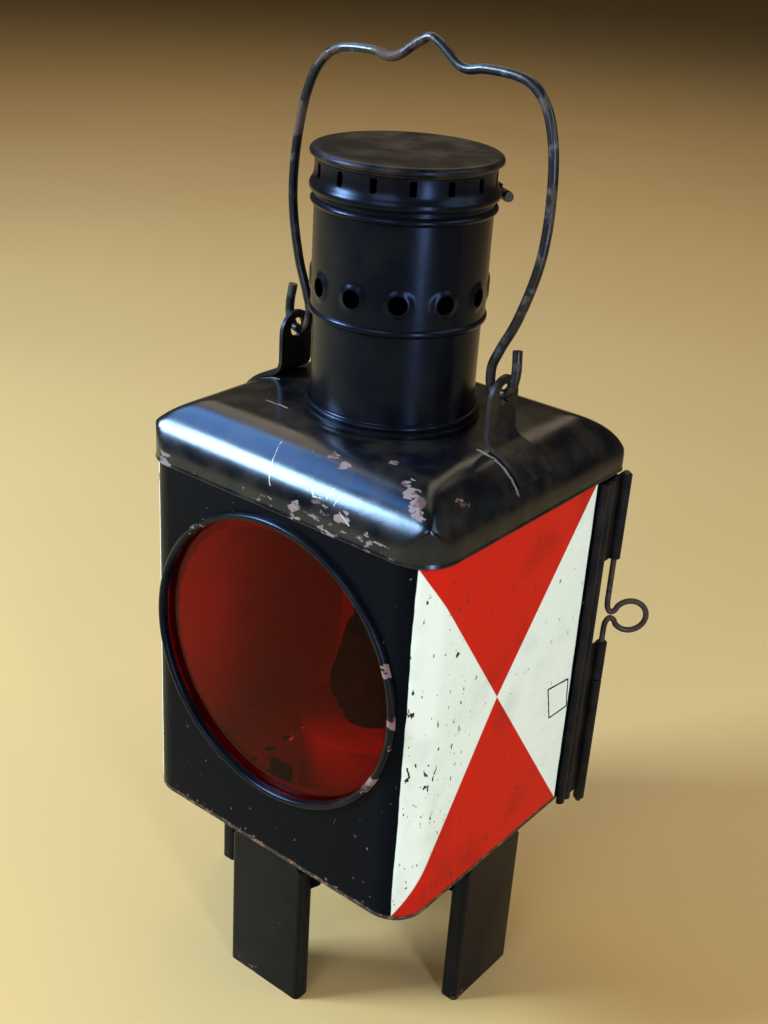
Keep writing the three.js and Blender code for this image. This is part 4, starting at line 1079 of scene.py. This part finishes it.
# Sockets under the case
def socket(name, quarter, reach):
    """A flat tube that slides on a lamp iron; its upper corners are cut off below the case."""
    half, depth, corner_cut = socket_half_width, socket_depth, 6
    bm = box_mesh((-half, 0, foot_z), (half, depth, -0.3), 2.4, 4, upright)
    tube = finish_mesh("tube", bm)
    inner = half - socket_sheet
    bore_low, bore_high = (-inner, socket_sheet, foot_z - 3), (inner, depth - socket_sheet, 3)
    carved(tube, box_mesh(bore_low, bore_high, 1.0, 3, upright))
    for side in (-1, 1):
        wedge = box_mesh((-corner_cut, -5, -corner_cut), (corner_cut, 15, corner_cut))
        turn_mesh(wedge, radians(45), "Y")
        shift_mesh(wedge, side * (half + 2.485), 0, 2.185)
        carved(tube, wedge)
    bm = mesh_of(tube)
    shift_mesh(bm, 0, reach, 0)
    turn_mesh(bm, quarter * pi / 2, "Z")
    settle(finish_mesh("socket_sheet_" + name, bm), leg_black, "case", "worn_black", "socket_" + name)


# Tank, filler cap and reflector
def oil_tank():
    profile = [
        (12, 40.3), (32, 40.3), (32, 2.1), (0, 2.1), (0, 1.2), (33.4, 1.2), (34, 1.8), (34, 2.6),
        (32.6, 4), (32.6, 38.4), (34, 39.8), (34, 40.8), (33.6, 41.2), (12, 41.2),
    ]
    drum = finish_mesh("tank_drum", spun(profile, 96))
    settle(drum, frosted_tin, "case", "tinned_steel", "oil_tank")


def filler_cap():
    profile = [(0, 41.5), (5.6, 41.5), (5.6, 45.4), (5.2, 46.1), (4.4, 46.5), (0, 46.5)]
    turn, reach = radians(130), 25.5
    bm = spun(profile, 48, place(reach * cos(turn), reach * sin(turn), 0))
    settle(finish_mesh("tank_filler_cap", bm), dull_brass, "case", "brass", "filler_cap")


def reflector():
    radius, depth, steps, behind_burner = 40, 11, 16, 43
    shares = [i / steps for i in range(steps + 1)]
    dish = [(radius * share, depth * (share ** 2 - 1)) for share in shares]
    dish += [(r, z - sheet) for r, z in reversed(dish)]
    bm = spun(dish, 96)
    turn_mesh(bm, radians(90), "X")
    shift_mesh(bm, 0, behind_burner, 103)
    settle(finish_mesh("reflector_dish", bm), tin_plate, "case", "tinned_steel", "reflector")


def carried_nodes():
    """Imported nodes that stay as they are, each with the finish of the real piece."""
    finishes = {
        "bottom_pan": pan_finish,
        "lens_retainer": tin_plate,
        "burner_gallery": smoked_brass,
        "wick_tube": dull_brass,
        "wick_winder": dull_brass,
        "winder_knob": dull_brass,
        "wick": wick_weave,
        "burner_cone": ear_black,
        "reflector_strip": ear_black,
        "lid_hinge_lug": lid_black,
        "lid_hinge_fork": lid_black,
        "lid_hinge_pin": latch_steel,
        "door_pin": latch_steel,
    }
    for name in nodes:
        if name.startswith("socket_bracket") or name.startswith("tank_clip"):
            finishes[name] = leg_black
    for name, material in finishes.items():
        nodes[name].data.materials.clear()
        nodes[name].data.materials.append(material)


def build_lamp():
    case_shell()
    roof_sheet()
    chimney_flue()
    chimney_stack()
    foot_ring()
    lid_gallery()
    lid_cap()
    lens_bezel()
    lens_glass()
    for side in (1, -1):
        ear(side)
        rail(side)
    bail()
    door_panel()
    latch_wire()
    walls = (("front", front_y), ("right", -half_width), ("rear", -rear_y), ("left", -half_width))
    for quarter, (name, reach) in enumerate(walls):
        socket(name, quarter, reach)
    oil_tank()
    filler_cap()
    reflector()
    carried_nodes()


# Floor, light and camera
def direction(azimuth, elevation):
    """The unit vector to a place round the lamp; azimuth 0 is straight in front of the glass."""
    turn, rise = radians(azimuth), radians(elevation)
    return Vector((sin(turn) * cos(rise), -cos(turn) * cos(rise), sin(rise)))


def floor_material():
    """Matt studio floor, its tone hardly mottled."""
    material, tree, shader, where = started("pale_floor", Roughness=0.9)
    link(tree, mixed(tree, noise(tree, where, 300, 2), "b0935f", "a88b58"), shader, "Base Color")
    return material


def floor():
    """The plain pale floor, 12 m to each side."""
    bm = bmesh.new()
    bmesh.ops.create_grid(bm, x_segments=1, y_segments=1, size=12)
    ground = finish_mesh("studio_floor", bm, flat=True)
    ground.data.materials.append(floor_material())


def soft_light(name, azimuth, elevation, distance, size, power, tint):
    """A soft box that looks at the middle of the lamp; distance and size are in metres."""
    data = bpy.data.lights.new(name, "AREA")
    data.shape = "RECTANGLE"
    data.size, data.size_y = size
    data.energy = power
    data.color = colour(tint)[:3]
    lamp = bpy.data.objects.new(name, data)
    bpy.context.scene.collection.objects.link(lamp)
    lamp_middle = Vector((0, 0, 0.2))
    away = direction(azimuth, elevation)
    lamp.location = lamp_middle + away * distance
    lamp.rotation_euler = away.to_track_quat("Z", "Y").to_euler()


def studio_lights():
    soft_light("window_light", -45, 29, 1.7, (0.5, 0.5), 78, "cdeaff")
    soft_light("sky_light", -78, 48, 1.7, (1.15, 0.52), 22, "7fb2f0")
    soft_light("low_side_light", 64, 10, 1.35, (0.15, 0.9), 15, "dcecff")
    soft_light("room_light", 112, 34, 2.2, (1.4, 1.4), 22, "f4faf2")
    soft_light("front_light", 12, 30, 2.0, (0.9, 0.9), 16, "f2f4ff")
    soft_light("back_light", 217, 55, 3.0, (2.5, 2.5), 44, "ffe2b8")


def surroundings():
    """A faint warm light from all round, in place of a room."""
    world = bpy.data.worlds.new("studio")
    bpy.context.scene.world = world
    bpy.context.scene.view_settings.view_transform = "Standard"
    world.use_nodes = True
    back = world.node_tree.nodes["Background"]
    back.inputs["Color"].default_value = colour("b39a6c")
    back.inputs["Strength"].default_value = 0.16


def camera():
    """The photograph's view: its direction, roll and lens, and the place it was taken from."""
    azimuth, elevation, roll = 37.27, 25.73, radians(3.77)
    stand = Vector((0.33175, -0.44958, 0.50110))
    focal_length, film_height = 47.34, 36
    back = direction(azimuth, elevation)
    right = Vector((cos(radians(azimuth)), sin(radians(azimuth)), 0))
    up = back.cross(right)
    across = right * cos(roll) + up * sin(roll)
    over = up * cos(roll) - right * sin(roll)
    data = bpy.data.cameras.new("photo_view")
    data.sensor_fit = "VERTICAL"
    data.sensor_height = film_height
    data.lens = focal_length
    view = bpy.data.objects.new("photo_view", data)
    bpy.context.scene.collection.objects.link(view)
    turned = Matrix((across, over, back)).transposed().to_4x4()
    view.matrix_world = Matrix.Translation(stand) @ turned
    bpy.context.scene.camera = view


def main():
    build_lamp()
    floor()
    studio_lights()
    surroundings()
    camera()


main()
